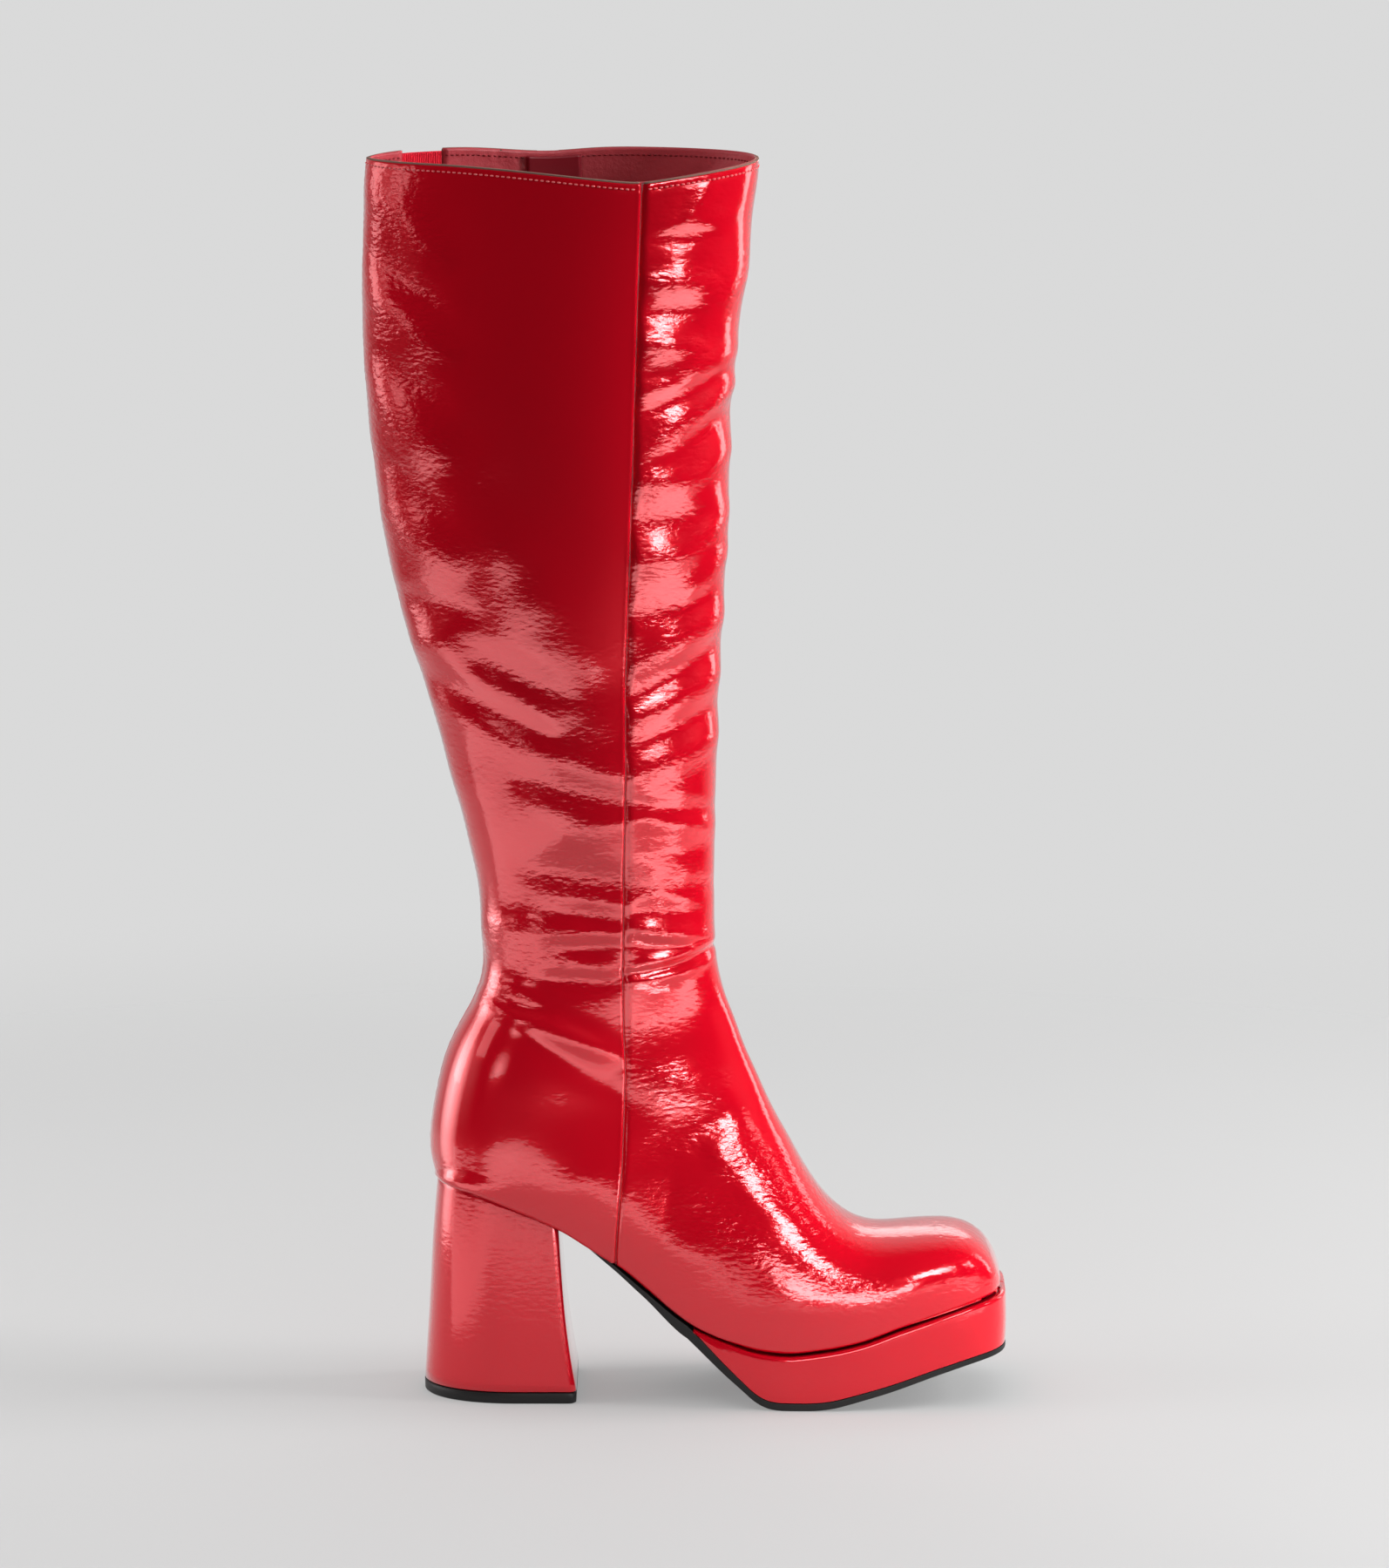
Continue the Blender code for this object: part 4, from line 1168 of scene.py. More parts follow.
@dataclass
class Upper:
    """The outside of the boot: three patent panels, their lining, zip, elastic and stitches."""

    frame: Frame
    form: UpperForm
    # Panels: how their edges are turned, and how they dip at the collar and along its stitches.
    panel_thickness: float = 0.9
    seam_half: float = 0.04
    close_columns: tuple[float, ...] = (0.0, 0.3, 0.7, 1.2, 1.9, 2.8, 4.0)
    full_width: float = 16.0
    front_columns: int = 100
    outer_columns: int = 66
    inner_columns: tuple[int, int, int] = (20, 12, 16)
    rolled: Edge = Edge(1.3, 3.2)
    lipped: Edge = Edge(1.2, 1.0, 0.16)
    turned: Edge = Edge(0.5, 1.2)
    back_edge: Edge = Edge(0.7, 1.4, 0.2)
    rim_reach: float = 1.6
    rim_dip: float = 0.45
    groove_width: float = 0.9
    groove_dip: float = 0.3
    pucker: float = 0.3
    pucker_lengths: Pair = (9.0, 23.0)
    # Zip, with the heights between which its slot closes, its tape and teeth, and the flap behind it.
    zip_half: float = 4.0
    zip_line: Table = ((511.0, 47.0), (108.0, 61.5), (60.0, 63.3))
    zip_close: Pair = (104.0, 109.0)
    tape_half: float = 5.0
    tape_inset: float = 0.95
    tape_thickness: float = 0.4
    tape_columns: int = 9
    tooth: Beads = Beads(3.0, 0.95, 1.5, 4.0, 4, 5)
    tooth_pitch: float = 0.8
    tooth_swing: float = 0.7
    tooth_inset: float = 0.25
    tooth_margin: float = 1.0
    guard_span: Pair = (-14.0, 9.0)
    guard_inset: float = 2.3
    guard_thickness: float = 0.6
    guard_columns: int = 15
    # Elastic: its edges as shares of the way from the back seam to the zip, its foot and its ribs.
    gore_shares: Pair = (0.28, 0.51)
    gore_foot: float = 425.0
    gore_gap: float = 0.2
    gore_inset: float = 0.35
    gore_thickness: float = 1.0
    rib_count: int = 18
    rib_height: float = 0.16
    # Lining, and its gathers: where they start and end before the elastic, and how deep they go.
    lining_inset: float = 1.15
    lining_thickness: float = 0.55
    lining_rise: float = 0.5
    lining_columns: tuple[int, int, int] = (110, 8, 10)
    gather_start: Pair = (14.0, 30.0)
    gather_end: Pair = (40.0, 26.0)
    gather_depth: Pair = (40.0, 6.0)
    gather_height: float = 0.5
    gather_pitch: float = 5.2
    # Stitches, and how far they keep from the back, the seam, the zip and the elastic.
    stitch: Beads = Beads(1.5, 0.75, 0.8, 2.5, 6, 7)
    stitch_depth: float = 1.8
    stitch_pitch: float = 2.3
    stitch_sink: float = 0.1
    stitch_ends: Pair = (1.2, 1.0)
    stitch_ahead: float = 0.1
    seam_margin: float = 2.2
    stitch_margin: float = 1.5
    # Raw edge on top of the collar.
    edge_gap: float = 0.5
    edge_inset: float = 0.85
    edge_half: float = 0.6
    edge_height: float = 0.5
    edge_point: float = 0.004
    edge_steps: int = 181
    edge_around: int = 8

    def __post_init__(self) -> None:
        """Finds seam, zip and elastic on the form's rows."""
        form = self.form
        self.seam = form.arc_at(form.column_on(Side.LATERAL, SIDE_SEAM))
        zip_columns = form.column_on(Side.MEDIAL, self.zip_line)
        self.zip = form.arc_at(zip_columns)
        self.whole = form.arc[:, -1]
        heights = form.smooth[np.arange(form.rows), zip_columns.astype(int), 2]
        opening = ease(*self.zip_close, heights)
        self.half = self.seam_half + (self.zip_half - self.seam_half) * opening
        self.zip_rows = np.nonzero(self.half > self.zip_half / 2)[0][2:]
        back = self.whole - self.zip - self.half
        self.gore_rear, self.gore_front = (self.whole - share * back for share in self.gore_shares)
        self.gore_rows = int(np.argmax(form.smooth[:, -1, 2] < self.gore_foot))

    def columns(self, start: Array, end: Array, count: int) -> Array:
        """Distances across a panel on each row, close together at both edges.

        Args:
            start: Where the panel starts on each row.
            end: Where it ends.
            count: Even steps between the close ones.

        Returns:
            One run of distances a row.
        """
        width = np.maximum(end - start, 0.0)[:, None]
        close = np.array(self.close_columns) * np.minimum(1, width / self.full_width)
        even = np.linspace(0, 1, count + 1)[None, 1:-1]
        inner = close[:, -1:] + even * (width - 2 * close[:, -1:])
        runs = np.concatenate([close, inner, width - close[:, ::-1]], axis=1)
        return start[:, None] + runs

    def collar_dip(self, runs: Array, depth: Array) -> Array:
        """Dip of a panel at the collar: as the square of the nearness to its edge, and a bell along
        the stitches that puckers with two sines of the way round.

        Args:
            runs: Distances along each row.
            depth: Distance of each row from the rim.

        Returns:
            Dip along the normal, in millimetres.
        """
        top = np.clip(1 - depth / self.rim_reach, 0, 1)
        groove = np.exp(-(((depth - self.stitch_depth) / self.groove_width) ** 2))
        first, second = (np.sin(2 * math.pi * runs / length) for length in self.pucker_lengths)
        pucker = 1 - self.pucker + self.pucker * first * second
        return self.rim_dip * top * top + self.groove_dip * groove * pucker

    def panel(
        self, name: str, start: Array, end: Array, runs: Array, edges: tuple[Edge, Edge],
        last_row: int, window: tuple[int, int, int] | None = None,
    ) -> None:
        """One patent panel between two lines that cross the rows.

        Args:
            name: Name of the piece.
            start: Where it starts on each row.
            end: Where it ends.
            runs: Distances of its columns on each row.
            edges: How its two edges are turned.
            last_row: Last row that it covers.
            window: First and last column and last row of an opening at the collar.
        """
        points, normals, crinkle = self.form.sample(runs)
        along = self.form.stations
        extra = np.arange(1, len(runs) - len(along) + 1)
        along = np.concatenate([along, along[-1] + extra])[:, None]
        offset = edges[0].offset(runs - start[:, None], along)
        offset = offset + edges[1].offset(end[:, None] - runs, along)
        offset = offset - self.collar_dip(runs, along - along[0])
        points = (points + normals * offset[..., None])[: last_row + 1]
        faces = grid_faces(*points.shape[:2])
        if window is not None:
            row, column = np.divmod(faces[:, 0], points.shape[1])
            inside = (row < window[2]) & (column >= window[0]) & (column < window[1])
            faces = faces[~inside]
        # The panels' cut edges take a near black finish, painted shade along the seams.
        part = Part(name, ("patent", "seam_shade_edge"), "patent_red", "upper")
        crinkle = crinkle[: last_row + 1]
        self.frame.build(part, points, faces, 0.02, self.panel_thickness, crinkle)

    @staticmethod
    def last_row(width: Array) -> int:
        """The row after the last one on which a panel is over half a millimetre wide."""
        return int(np.max(np.nonzero(width > 0.5)[0])) + 1

    def build_panels(self) -> None:
        """The front panel and the two quarters, the inner one with the elastic's window."""
        zip_end = np.minimum(self.zip + self.half, self.whole)
        start = self.seam + np.where(self.seam > 0, self.seam_half, 0)
        end = self.zip - np.where(self.zip < self.whole, self.half, 0)
        runs = self.columns(start, end, self.front_columns)
        edges = (self.rolled, self.turned)
        self.panel("front_panel", start, end, runs, edges, self.form.rows - 1)
        start = np.zeros(self.form.rows)
        end = np.maximum(self.seam - self.seam_half, 0)
        runs = self.columns(start, end, self.outer_columns)
        edges = (self.back_edge, self.lipped)
        self.panel("outer_quarter", start, end, runs, edges, self.last_row(self.seam))
        before, across, behind = self.inner_columns
        front = self.columns(zip_end, np.maximum(self.gore_front, zip_end), before)
        middle = between(self.gore_front, self.gore_rear, np.linspace(0, 1, across + 1)[1:])
        rear = self.columns(self.gore_rear, self.whole, behind)[:, 1:]
        runs = np.concatenate([front, middle, rear], axis=1)
        first = front.shape[1] - 1
        window = (first, first + middle.shape[1], self.gore_rows)
        last = self.last_row(self.whole - self.zip)
        edges = (self.turned, self.back_edge)
        self.panel("inner_quarter", zip_end, self.whole, runs, edges, last, window)

    def build_lining(self) -> None:
        """The lining: the form set inwards, open at the elastic, gathered beside the zip."""
        rows, counts = self.form.rows, self.lining_columns
        ends = (np.zeros(rows), self.gore_front, self.gore_rear, self.whole)
        stretches = [
            between(a, b, np.linspace(0, 1, n + 1))
            for a, b, n in zip(ends[:-1], ends[1:], counts)
        ]
        runs = np.concatenate([stretches[0]] + [run[:, 1:] for run in stretches[1:]], axis=1)
        points, normals, _ = self.form.sample(runs)
        depth = np.pad(self.form.stations, (0, rows - len(self.form.stations)), mode="edge")
        before = self.gore_front[:, None] - runs
        gather = ease(*self.gather_start, before) * ease(*self.gather_end, before)
        gather = gather * ease(*self.gather_depth, depth)[:, None]
        ruche = self.gather_height * gather * np.sin(2 * math.pi * runs / self.gather_pitch)
        points = points - normals * (self.lining_inset + ruche)[..., None]
        points[0, :, 2] += self.lining_rise
        last = rows - 1 - len(self.form.toe_shares)
        close = len(self.form.rim_rows)
        chosen = np.concatenate([np.arange(close), np.arange(close, last, 2), [last]])
        points = points[chosen]
        faces = grid_faces(*points.shape[:2])
        row, column = np.divmod(faces[:, 0], points.shape[1])
        across = (column >= counts[0]) & (column < counts[0] + counts[1])
        faces = faces[~((chosen[row] < self.gore_rows) & across)]
        part = Part("lining", ("lining", "cut_edge"), "lining_red", "upper")
        self.frame.build(part, points, faces, 0.02, self.lining_thickness)

    def build_gore(self) -> None:
        """The elastic panel: ribs run down it as a wave across its width."""
        shares = np.linspace(0, 1, 4 * self.rib_count + 1)
        runs = between(self.gore_front + self.gore_gap, self.gore_rear - self.gore_gap, shares)
        points, normals, _ = self.form.sample(runs)
        ribs = self.rib_height * np.cos(2 * math.pi * self.rib_count * shares)
        points = points + normals * (ribs - self.gore_inset)[None, :, None]
        part = Part("elastic", ("elastic",), "elastic_red", "elastic_gore")
        points = points[1 : self.gore_rows + 1]
        self.frame.build(part, points, thickness=self.gore_thickness)

    def build_guard(self) -> None:
        """The smooth flap behind the zip, inside the leg."""
        runs = self.zip[:, None] + np.linspace(*self.guard_span, self.guard_columns)
        points, normals, _ = self.form.sample(np.minimum(runs, self.whole[:, None]))
        points = points - normals * self.guard_inset
        # The flap's finish is the lining red darkened, painted shade inside the leg.
        part = Part("zip_guard", ("guard",), "lining_red", "upper")
        points = points[self.zip_rows[0] : self.zip_rows[-1]]
        self.frame.build(part, points, thickness=self.guard_thickness)

    def zip_path(self) -> tuple[Array, Array, Array]:
        """Places down the middle of the zip, with the ways across it and out of the leg."""
        rows = self.zip_rows
        points, normals, _ = self.form.sample(self.zip[:, None] + np.array([-1.0, 0.0, 1.0]))
        return points[rows, 1], unit(points[rows, 2] - points[rows, 0]), normals[rows, 1]

    def build_zip(self) -> None:
        """Tape and teeth of the closed zip: two rows of blocks that pass each other along it."""
        points, across, out = self.zip_path()
        steps = np.linspace(-self.tape_half, self.tape_half, self.tape_columns)
        tape = points[:, None] + across[:, None] * steps[:, None] - out[:, None] * self.tape_inset
        part = Part("zip_tape", ("tape",), "zip_red", "zip_chain")
        self.frame.build(part, tape, thickness=self.tape_thickness)
        length = lengths_along(points)
        at = np.arange(self.tooth_margin, length[-1] - self.tooth_margin, self.tooth_pitch)
        place, side, face = (
            np.stack([np.interp(at, length, grid[:, k]) for k in range(3)], axis=-1)
            for grid in (points, across, out)
        )
        swing = np.where(np.arange(len(at)) % 2 == 0, self.tooth_swing, -self.tooth_swing)
        place = place + side * swing[:, None] - face * self.tooth_inset
        teeth = self.tooth.points(place, unit(side), unit(face))
        self.build_beads(Part("zip_teeth", ("teeth",), "zip_red", "zip_chain"), teeth)

    def build_beads(self, part: Part, beads: Array) -> None:
        """One piece of many small beads.

        Args:
            part: Which piece it is.
            beads: Bead by ring by point by three.
        """
        count, rings, around = beads.shape[:3]
        one = grid_faces(rings, around, closed=True)
        faces = one[None] + (np.arange(count) * rings * around)[:, None, None]
        self.frame.build(part, beads, faces.reshape(-1, 4), weld=0.01)

    def build_stitches(self) -> None:
        """Thread round the collar, outside and inside, clear of seam, zip and elastic."""
        row = int(np.argmin(np.abs(self.form.stations - self.stitch_depth)))
        first, last = self.stitch_ends
        at = np.arange(first, self.whole[row] - last, self.stitch_pitch)
        margin = self.stitch_margin
        clear = np.abs(at - self.seam[row]) > self.seam_margin
        clear &= np.abs(at - self.zip[row]) > self.half[row] + margin
        clear &= (at < self.gore_front[row] - margin) | (at > self.gore_rear[row] + margin)
        at = at[clear]
        runs = np.repeat(np.concatenate([at, at + self.stitch_ahead])[None], self.form.rows, axis=0)
        points, normals, _ = self.form.sample(runs)
        here, ahead = points[row].reshape(2, -1, 3)
        out = normals[row, : len(at)]
        inside = self.lining_inset + self.lining_thickness
        for part, sink in (
            # The outer stitches' pale thread is a painted highlight.
            (Part("collar_stitches", ("thread",), "patent_red", "upper"), self.stitch_sink),
            (Part("lining_stitches", ("lining_thread",), "lining_red", "upper"), inside),
        ):
            beads = self.stitch.points(here - out * sink, unit(ahead - here), out)
            self.build_beads(part, beads)

    def build_rim(self) -> None:
        """The raw cut edge on top of the collar: a thin bar along the rim between seams and
        elastic, round in section and drawn to a point at each end."""
        ends = (
            (0.0, self.seam[0] - self.edge_gap),
            (self.seam[0] + self.edge_gap, self.zip[0] - self.half[0]),
            (self.zip[0] + self.half[0], self.gore_front[0]),
            (self.gore_rear[0], self.whole[0]),
        )
        shares = np.linspace(0, 1, self.edge_steps)
        size = np.minimum(1, np.minimum(shares, 1 - shares) / self.edge_point)
        turn = np.linspace(2 * math.pi, 0, self.edge_around + 1)[:-1]
        rise = np.sin(turn)[None, :, None] * np.array([0.0, 0.0, self.edge_height])
        bars = []
        for start, end in ends:
            runs = np.repeat((start + shares * (end - start))[None], self.form.rows, axis=0)
            points, normals, _ = self.form.sample(runs)
            out = unit(normals[0] * np.array([1.0, 1.0, 0.0]))
            middle = points[0] - out * self.edge_inset
            side = np.cos(turn)[None, :, None] * out[:, None] * self.edge_half
            bars.append(middle[:, None] + (side + rise) * size[:, None, None])
        part = Part("collar_edge", ("cut_edge",), "patent_red", "upper")
        self.build_beads(part, np.array(bars))

    def build(self) -> None:
        """Builds every piece of the upper."""
        self.build_panels()
        self.build_rim()
        self.build_lining()
        self.build_gore()
        self.build_guard()
        self.build_zip()
        self.build_stitches()


@dataclass
class ZipSlider:
    """The metal slider and its hinged pull tab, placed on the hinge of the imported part."""

    frame: Frame
    axis_point: Array
    across: Array
    up: Array
    body_size: Triple = (8.4, 11.0, 2.0)
    body_drop: float = 2.25
    body_taper: float = 0.14
    # Powers that square the body off, seen from outside and from the side.
    body_square: Pair = (0.5, 0.35)
    body_steps: tuple[int, int] = (40, 19)
    bridge_radius: float = 2.95
    bridge_drop: float = 1.42
    bridge_tube: float = 0.6
    bridge_flat: float = 1.3
    bridge_steps: int = 25
    tube_steps: int = 12
    pull_half: float = 3.2
    pull_top: float = 0.75
    pull_length: float = 24.0
    pull_thickness: float = 1.4
    # Powers that square off the tab's outline and its section.
    pull_square: Pair = (0.3, 0.35)
    pull_steps: tuple[int, int] = (96, 24)
    window: Pair = (3.4, 3.2)

    def place(self, local: Array) -> Array:
        """Carries local places, across, up and out from the hinge, onto the boot."""
        axes = np.stack([self.across, self.up, np.cross(self.across, self.up)])
        return self.axis_point + local @ axes

    def build_body(self) -> None:
        """The body, a rounded box drawn in below, and the bridge, a tube along a half circle."""
        around, up = self.body_steps
        u = np.linspace(-math.pi, math.pi, around + 1)[:-1]
        v = np.linspace(-math.pi / 2, math.pi / 2, up)[:, None]
        plan, side = self.body_square
        flat = signed_power(np.cos(v), side)
        x = flat * signed_power(np.cos(u), plan)
        y = flat * signed_power(np.sin(u), plan)
        z = signed_power(np.sin(v), plan) + 0 * u
        half = np.array(self.body_size) / 2
        taper = 1 - self.body_taper + self.body_taper * y
        body = np.stack(
            [x * half[0] * taper, y * half[1], z * half[2] - self.body_drop], axis=-1
        )
        turn = np.pad(np.linspace(0, math.pi, self.bridge_steps), 1, mode="edge")[:, None]
        tube = self.bridge_tube * np.pad(np.ones(self.bridge_steps), 1)[:, None]
        ring = np.linspace(0, 2 * math.pi, self.tube_steps + 1)[None, :-1]
        reach = self.bridge_radius + tube * np.cos(ring)
        wide = self.bridge_flat * tube * np.sin(ring)
        bridge = np.stack(
            [wide, reach * np.cos(turn), reach * np.sin(turn) - self.bridge_drop], axis=-1
        )
        points = np.concatenate([body.reshape(-1, 3), bridge.reshape(-1, 3)])
        start = body.shape[0] * body.shape[1]
        faces = np.concatenate([
            grid_faces(*body.shape[:2], closed=True),
            grid_faces(*bridge.shape[:2], closed=True, offset=start)[:, ::-1],
        ])
        part = Part("slider", ("metal",), "zip_metal", "zip_slider")
        self.frame.build(part, self.place(points), faces, weld=0.002)

    def build_pull(self) -> None:
        """The pull: a plate between its outline and its window, both superellipses about the
        window, with a rounded section that runs round both edges."""
        around, across = self.pull_steps
        u = np.linspace(0, 2 * math.pi, around + 1)[:-1][:, None]
        v = np.linspace(0, 2 * math.pi, across + 1)[:-1][None, :]
        corner, section = self.pull_square
        shape = np.concatenate(
            [signed_power(np.cos(u), corner), signed_power(np.sin(u), corner)], axis=1
        )
        middle = -self.pull_top - self.window[1] / 2
        upper, lower = self.pull_top - middle, self.pull_length - self.pull_top + middle
        inner = shape * np.array(self.window) / 2
        reach = np.where(np.sin(u) > 0, upper, lower)
        outer = shape * np.concatenate([np.full_like(reach, self.pull_half), reach], axis=1)
        share = (1 + signed_power(np.cos(v), section)) / 2
        rise = self.pull_thickness / 2 * signed_power(np.sin(v), section) + 0 * u
        plan = inner[:, None] + share[..., None] * (outer - inner)[:, None]
        plan[..., 1] += middle
        points = np.concatenate([plan, rise[..., None]], axis=-1)
        points = np.concatenate([points, points[:1]])
        faces = grid_faces(*points.shape[:2], closed=True)[:, ::-1]
        part = Part("pull_tab", ("metal",), "zip_metal", "zip_pull", body="pull_tab")
        self.frame.build(part, self.place(points), faces, weld=0.002)

    def build(self) -> None:
        """Builds slider and pull."""
        self.build_body()
        self.build_pull()


def solid_of_halves(lateral: Array, medial: Array) -> tuple[Array, Array]:
    """Points and faces of a solid from its two halves.

    Args:
        lateral: Outer half: outline steps from the straight end to the round one, each a profile
            from the bottom's middle line out, up the wall and back to the top's middle line.
        medial: Inner half, the same way.

    Returns:
        Vertices and quads, with a strip over the straight end.
    """
    steps, profile = lateral.shape[:2]
    points = np.concatenate([lateral.reshape(-1, 3), medial.reshape(-1, 3)])
    outer = grid_faces(steps, profile)[:, ::-1]
    inner = grid_faces(steps, profile, offset=steps * profile)
    rung = np.arange(profile - 1)
    start = steps * profile
    end = np.stack([rung, rung + 1, rung + 1 + start, rung + start], axis=-1)
    return points, np.concatenate([outer, inner, end])


@dataclass
class Sole:
    """Platform, outsole, heel and insole, each a walled solid round an outline."""

    frame: Frame
    last: Last
    ledge: float = 2.4
    ledge_span: Pair = (107.0, 138.0)
    seat_gap: float = 0.6
    gap: float = 0.3
    shank_end: float = 104.0
    breast_x: float = 52.0
    platform_least: float = 0.4
    sock_inset: float = 2.7
    sock_thickness: float = 2.5
    # How far a flat top or bottom is drawn in before its middle line, and at it.
    flat_inset: float = 9.0
    middle_inset: float = 99.0
    # Walls: radius of the lower and the upper edge, and how far they swell at half their height.
    platform_wall: Triple = (0.2, 1.6, 0.35)
    outsole_wall: Triple = (0.2, 0.15, 0.0)
    sock_wall: Triple = (0.2, 0.9, 0.0)
    edge_steps: int = 6
    wall_steps: int = 8
    platform_steps: int = 130
    outsole_steps: int = 170
    sock_steps: int = 120
    tread: Table = (
        (104.0, 28.6), (119.0, 14.5), (128.0, 6.9), (131.5, 3.9), (135.5, 1.6), (139.0, 0.5),
        (144.0, 0.0), (152.0, 0.0), (157.0, 0.15), (161.0, 0.55), (165.0, 1.2), (169.5, 2.3),
        (175.0, 3.8), (187.0, 7.2), (210.0, 14.6), (224.0, 18.4), (237.0, 21.0),
    )
    thickness: Table = (
        (52.0, 1.2), (73.0, 1.8), (86.0, 2.6), (104.0, 5.2), (119.0, 4.2), (128.0, 3.4),
        (141.0, 3.0), (161.0, 3.0), (187.0, 2.7), (210.0, 2.4), (237.0, 2.2),
    )
    # Heel block from its foot up: share of the height, back x, front x, half width.
    heel_levels: Table = (
        (0.0, -4.2, 59.0, 31.5), (0.18, -3.2, 56.9, 30.6), (0.40, -2.0, 54.8, 29.5),
        (0.70, -0.6, 52.9, 28.2), (1.0, 1.6, 51.5, 27.0),
    )
    heel_steps: int = 22
    corner_steps: int = 7
    back_steps: int = 45
    heel_round: float = 0.62
    heel_power: float = 2.2
    heel_corner: float = 3.0
    # Rounding of the block's foot and head: how far the edge is set in, and how far it is raised.
    heel_edges: Table = ((0.5, 0.35), (0.6, -0.6))
    lift_height: float = 4.6
    # The lift's rounded wall from the floor up: height and inset.
    lift_wall: Table = ((0.0, 0.7), (0.5, 0.1), (4.2, 0.0), (4.6, 0.3))

    def grow(self, x: Array) -> Array:
        """How far the sole stands out past the upper's edge."""
        return self.ledge * ease(*self.ledge_span, x)

    def bottom(self, x: Array) -> Array:
        """Under side of the outsole."""
        shank = self.last.height(x) - self.seat_gap - smooth_table(self.thickness, x)
        return np.where(x <= self.shank_end, shank, smooth_table(self.tread, x))

    def top(self, x: Array) -> Array:
        """Upper side of the outsole."""
        return self.bottom(x) + smooth_table(self.thickness, x)

    def walled(
        self, x: Array, side: Side, profile: Array, low: Height, high: Height, grow: Array | float
    ) -> Array:
        """One half of a solid whose wall follows the sole's outline.

        Args:
            x: Places along the outline, from its straight end to its round one.
            side: Outer or inner side.
            profile: Rows of inset from the outline, share of the height, and offset of the height.
            low: Height of the under side at x.
            high: Height of the upper side at x.
            grow: How much larger the outline is than the upper's edge.

        Returns:
            Outline steps by profile rows by three.
        """
        half = self.last.half_width(x, side, grow)
        run = unit(np.stack([np.gradient(x), np.gradient(half)], axis=-1))
        normal = np.stack([-run[:, 1], run[:, 0]], axis=-1)
        inset = profile[None, :, 0]
        px = x[:, None] - inset * normal[:, :1]
        py = np.maximum(half[:, None] - inset * normal[:, 1:], 0.0)
        px = np.clip(px, x.min(), x.max())
        px[:, [0, -1]] = x[:, None]
        share = profile[None, :, 1]
        pz = low(px) * (1 - share) + high(px) * share + profile[None, :, 2]
        points = np.stack([px, side.value * py, pz], axis=-1)
        points[:, [0, -1], 1] = 0.0
        return points

    def round_profile(self, low: float, high: float, bulge: float) -> Array:
        """Profile of a wall with rounded edges: inset, share of the height, offset of the height.

        Args:
            low: Radius of the lower edge.
            high: Radius of the upper edge.
            bulge: How far the wall swells at half its height.

        Returns:
            One row a profile point, from the bottom's middle line to the top's.
        """
        turn = np.linspace(0, math.pi / 2, self.edge_steps)
        wall = np.linspace(0, 1, self.wall_steps + 1)[1:-1]
        swell = -bulge * np.sin(math.pi * wall)
        foot = np.stack([low * (1 - np.sin(turn)), 0 * turn, low * (1 - np.cos(turn))], axis=-1)
        side = np.stack([swell, wall, low * (1 - wall) - high * wall], axis=-1)
        head = np.stack(
            [high * (1 - np.cos(turn)), 1 + 0 * turn, high * (np.sin(turn) - 1)], axis=-1
        )
        middle, flat = self.middle_inset, self.flat_inset
        under = [[middle, 0.0, 0.0], [flat, 0.0, 0.0]]
        over = [[flat, 1.0, 0.0], [middle, 1.0, 0.0]]
        return np.concatenate([under, foot, side, head, over])

    def build_solid(
        self, part: Part, x: Array, profile: Array, low: Height, high: Height, grow: Array | float
    ) -> None:
        """A walled solid from both halves.

        Args:
            part: Which piece it is.
            x: Places along the outline.
            profile: Profile of its wall.
            low: Height of the under side at x.
            high: Height of the upper side at x.
            grow: How much larger its outline is than the upper's edge.
        """
        points, faces = solid_of_halves(
            *(self.walled(x, side, profile, low, high, grow) for side in Side)
        )
        self.frame.build(part, points, faces, weld=0.003)

    def towards_toe(self, start: float, count: int) -> Array:
        """Places from a start to the sole's toe, close together there."""
        end = self.last.toe_x + self.ledge
        return start + (end - start) * np.sin(np.linspace(0, math.pi / 2, count))

    def build_platform(self) -> None:
        """The covered platform under the forefoot."""
        x = self.towards_toe(self.ledge_span[0], self.platform_steps)

        def low(at: Array) -> Array:
            """Under side, on the outsole."""
            return self.top(at) + self.gap

        def high(at: Array) -> Array:
            """Upper side, under the feather line."""
            return np.maximum(self.last.height(at) - self.gap, low(at) + self.platform_least)

        part = Part("platform_cover", ("cover",), "patent_red", "platform")
        profile = self.round_profile(*self.platform_wall)
        self.build_solid(part, x, profile, low, high, self.grow(x))

    def build_outsole(self) -> None:
        """The thin rubber sole from the heel's breast to the toe."""
        x = self.towards_toe(self.breast_x + self.gap, self.outsole_steps)
        part = Part("tread_sole", ("rubber",), "rubber_black", "outsole")
        profile = self.round_profile(*self.outsole_wall)
        self.build_solid(part, x, profile, self.bottom, self.top, self.grow(x))

    def build_insole(self) -> None:
        """The padded sock that the foot stands on."""
        start, end = self.last.heel_x + self.sock_inset, self.last.toe_x - self.sock_inset
        turn = np.linspace(0, math.pi, self.sock_steps)
        x = start + (end - start) * (1 - np.cos(turn)) / 2

        def low(at: Array) -> Array:
            """Under side, just over the upper's edge."""
            return self.last.height(at) + self.gap

        def high(at: Array) -> Array:
            """Upper side."""
            return low(at) + self.sock_thickness

        part = Part("sock", ("sock",), "lining_red", "insole")
        profile = self.round_profile(*self.sock_wall)
        self.build_solid(part, x, profile, low, high, -self.sock_inset)

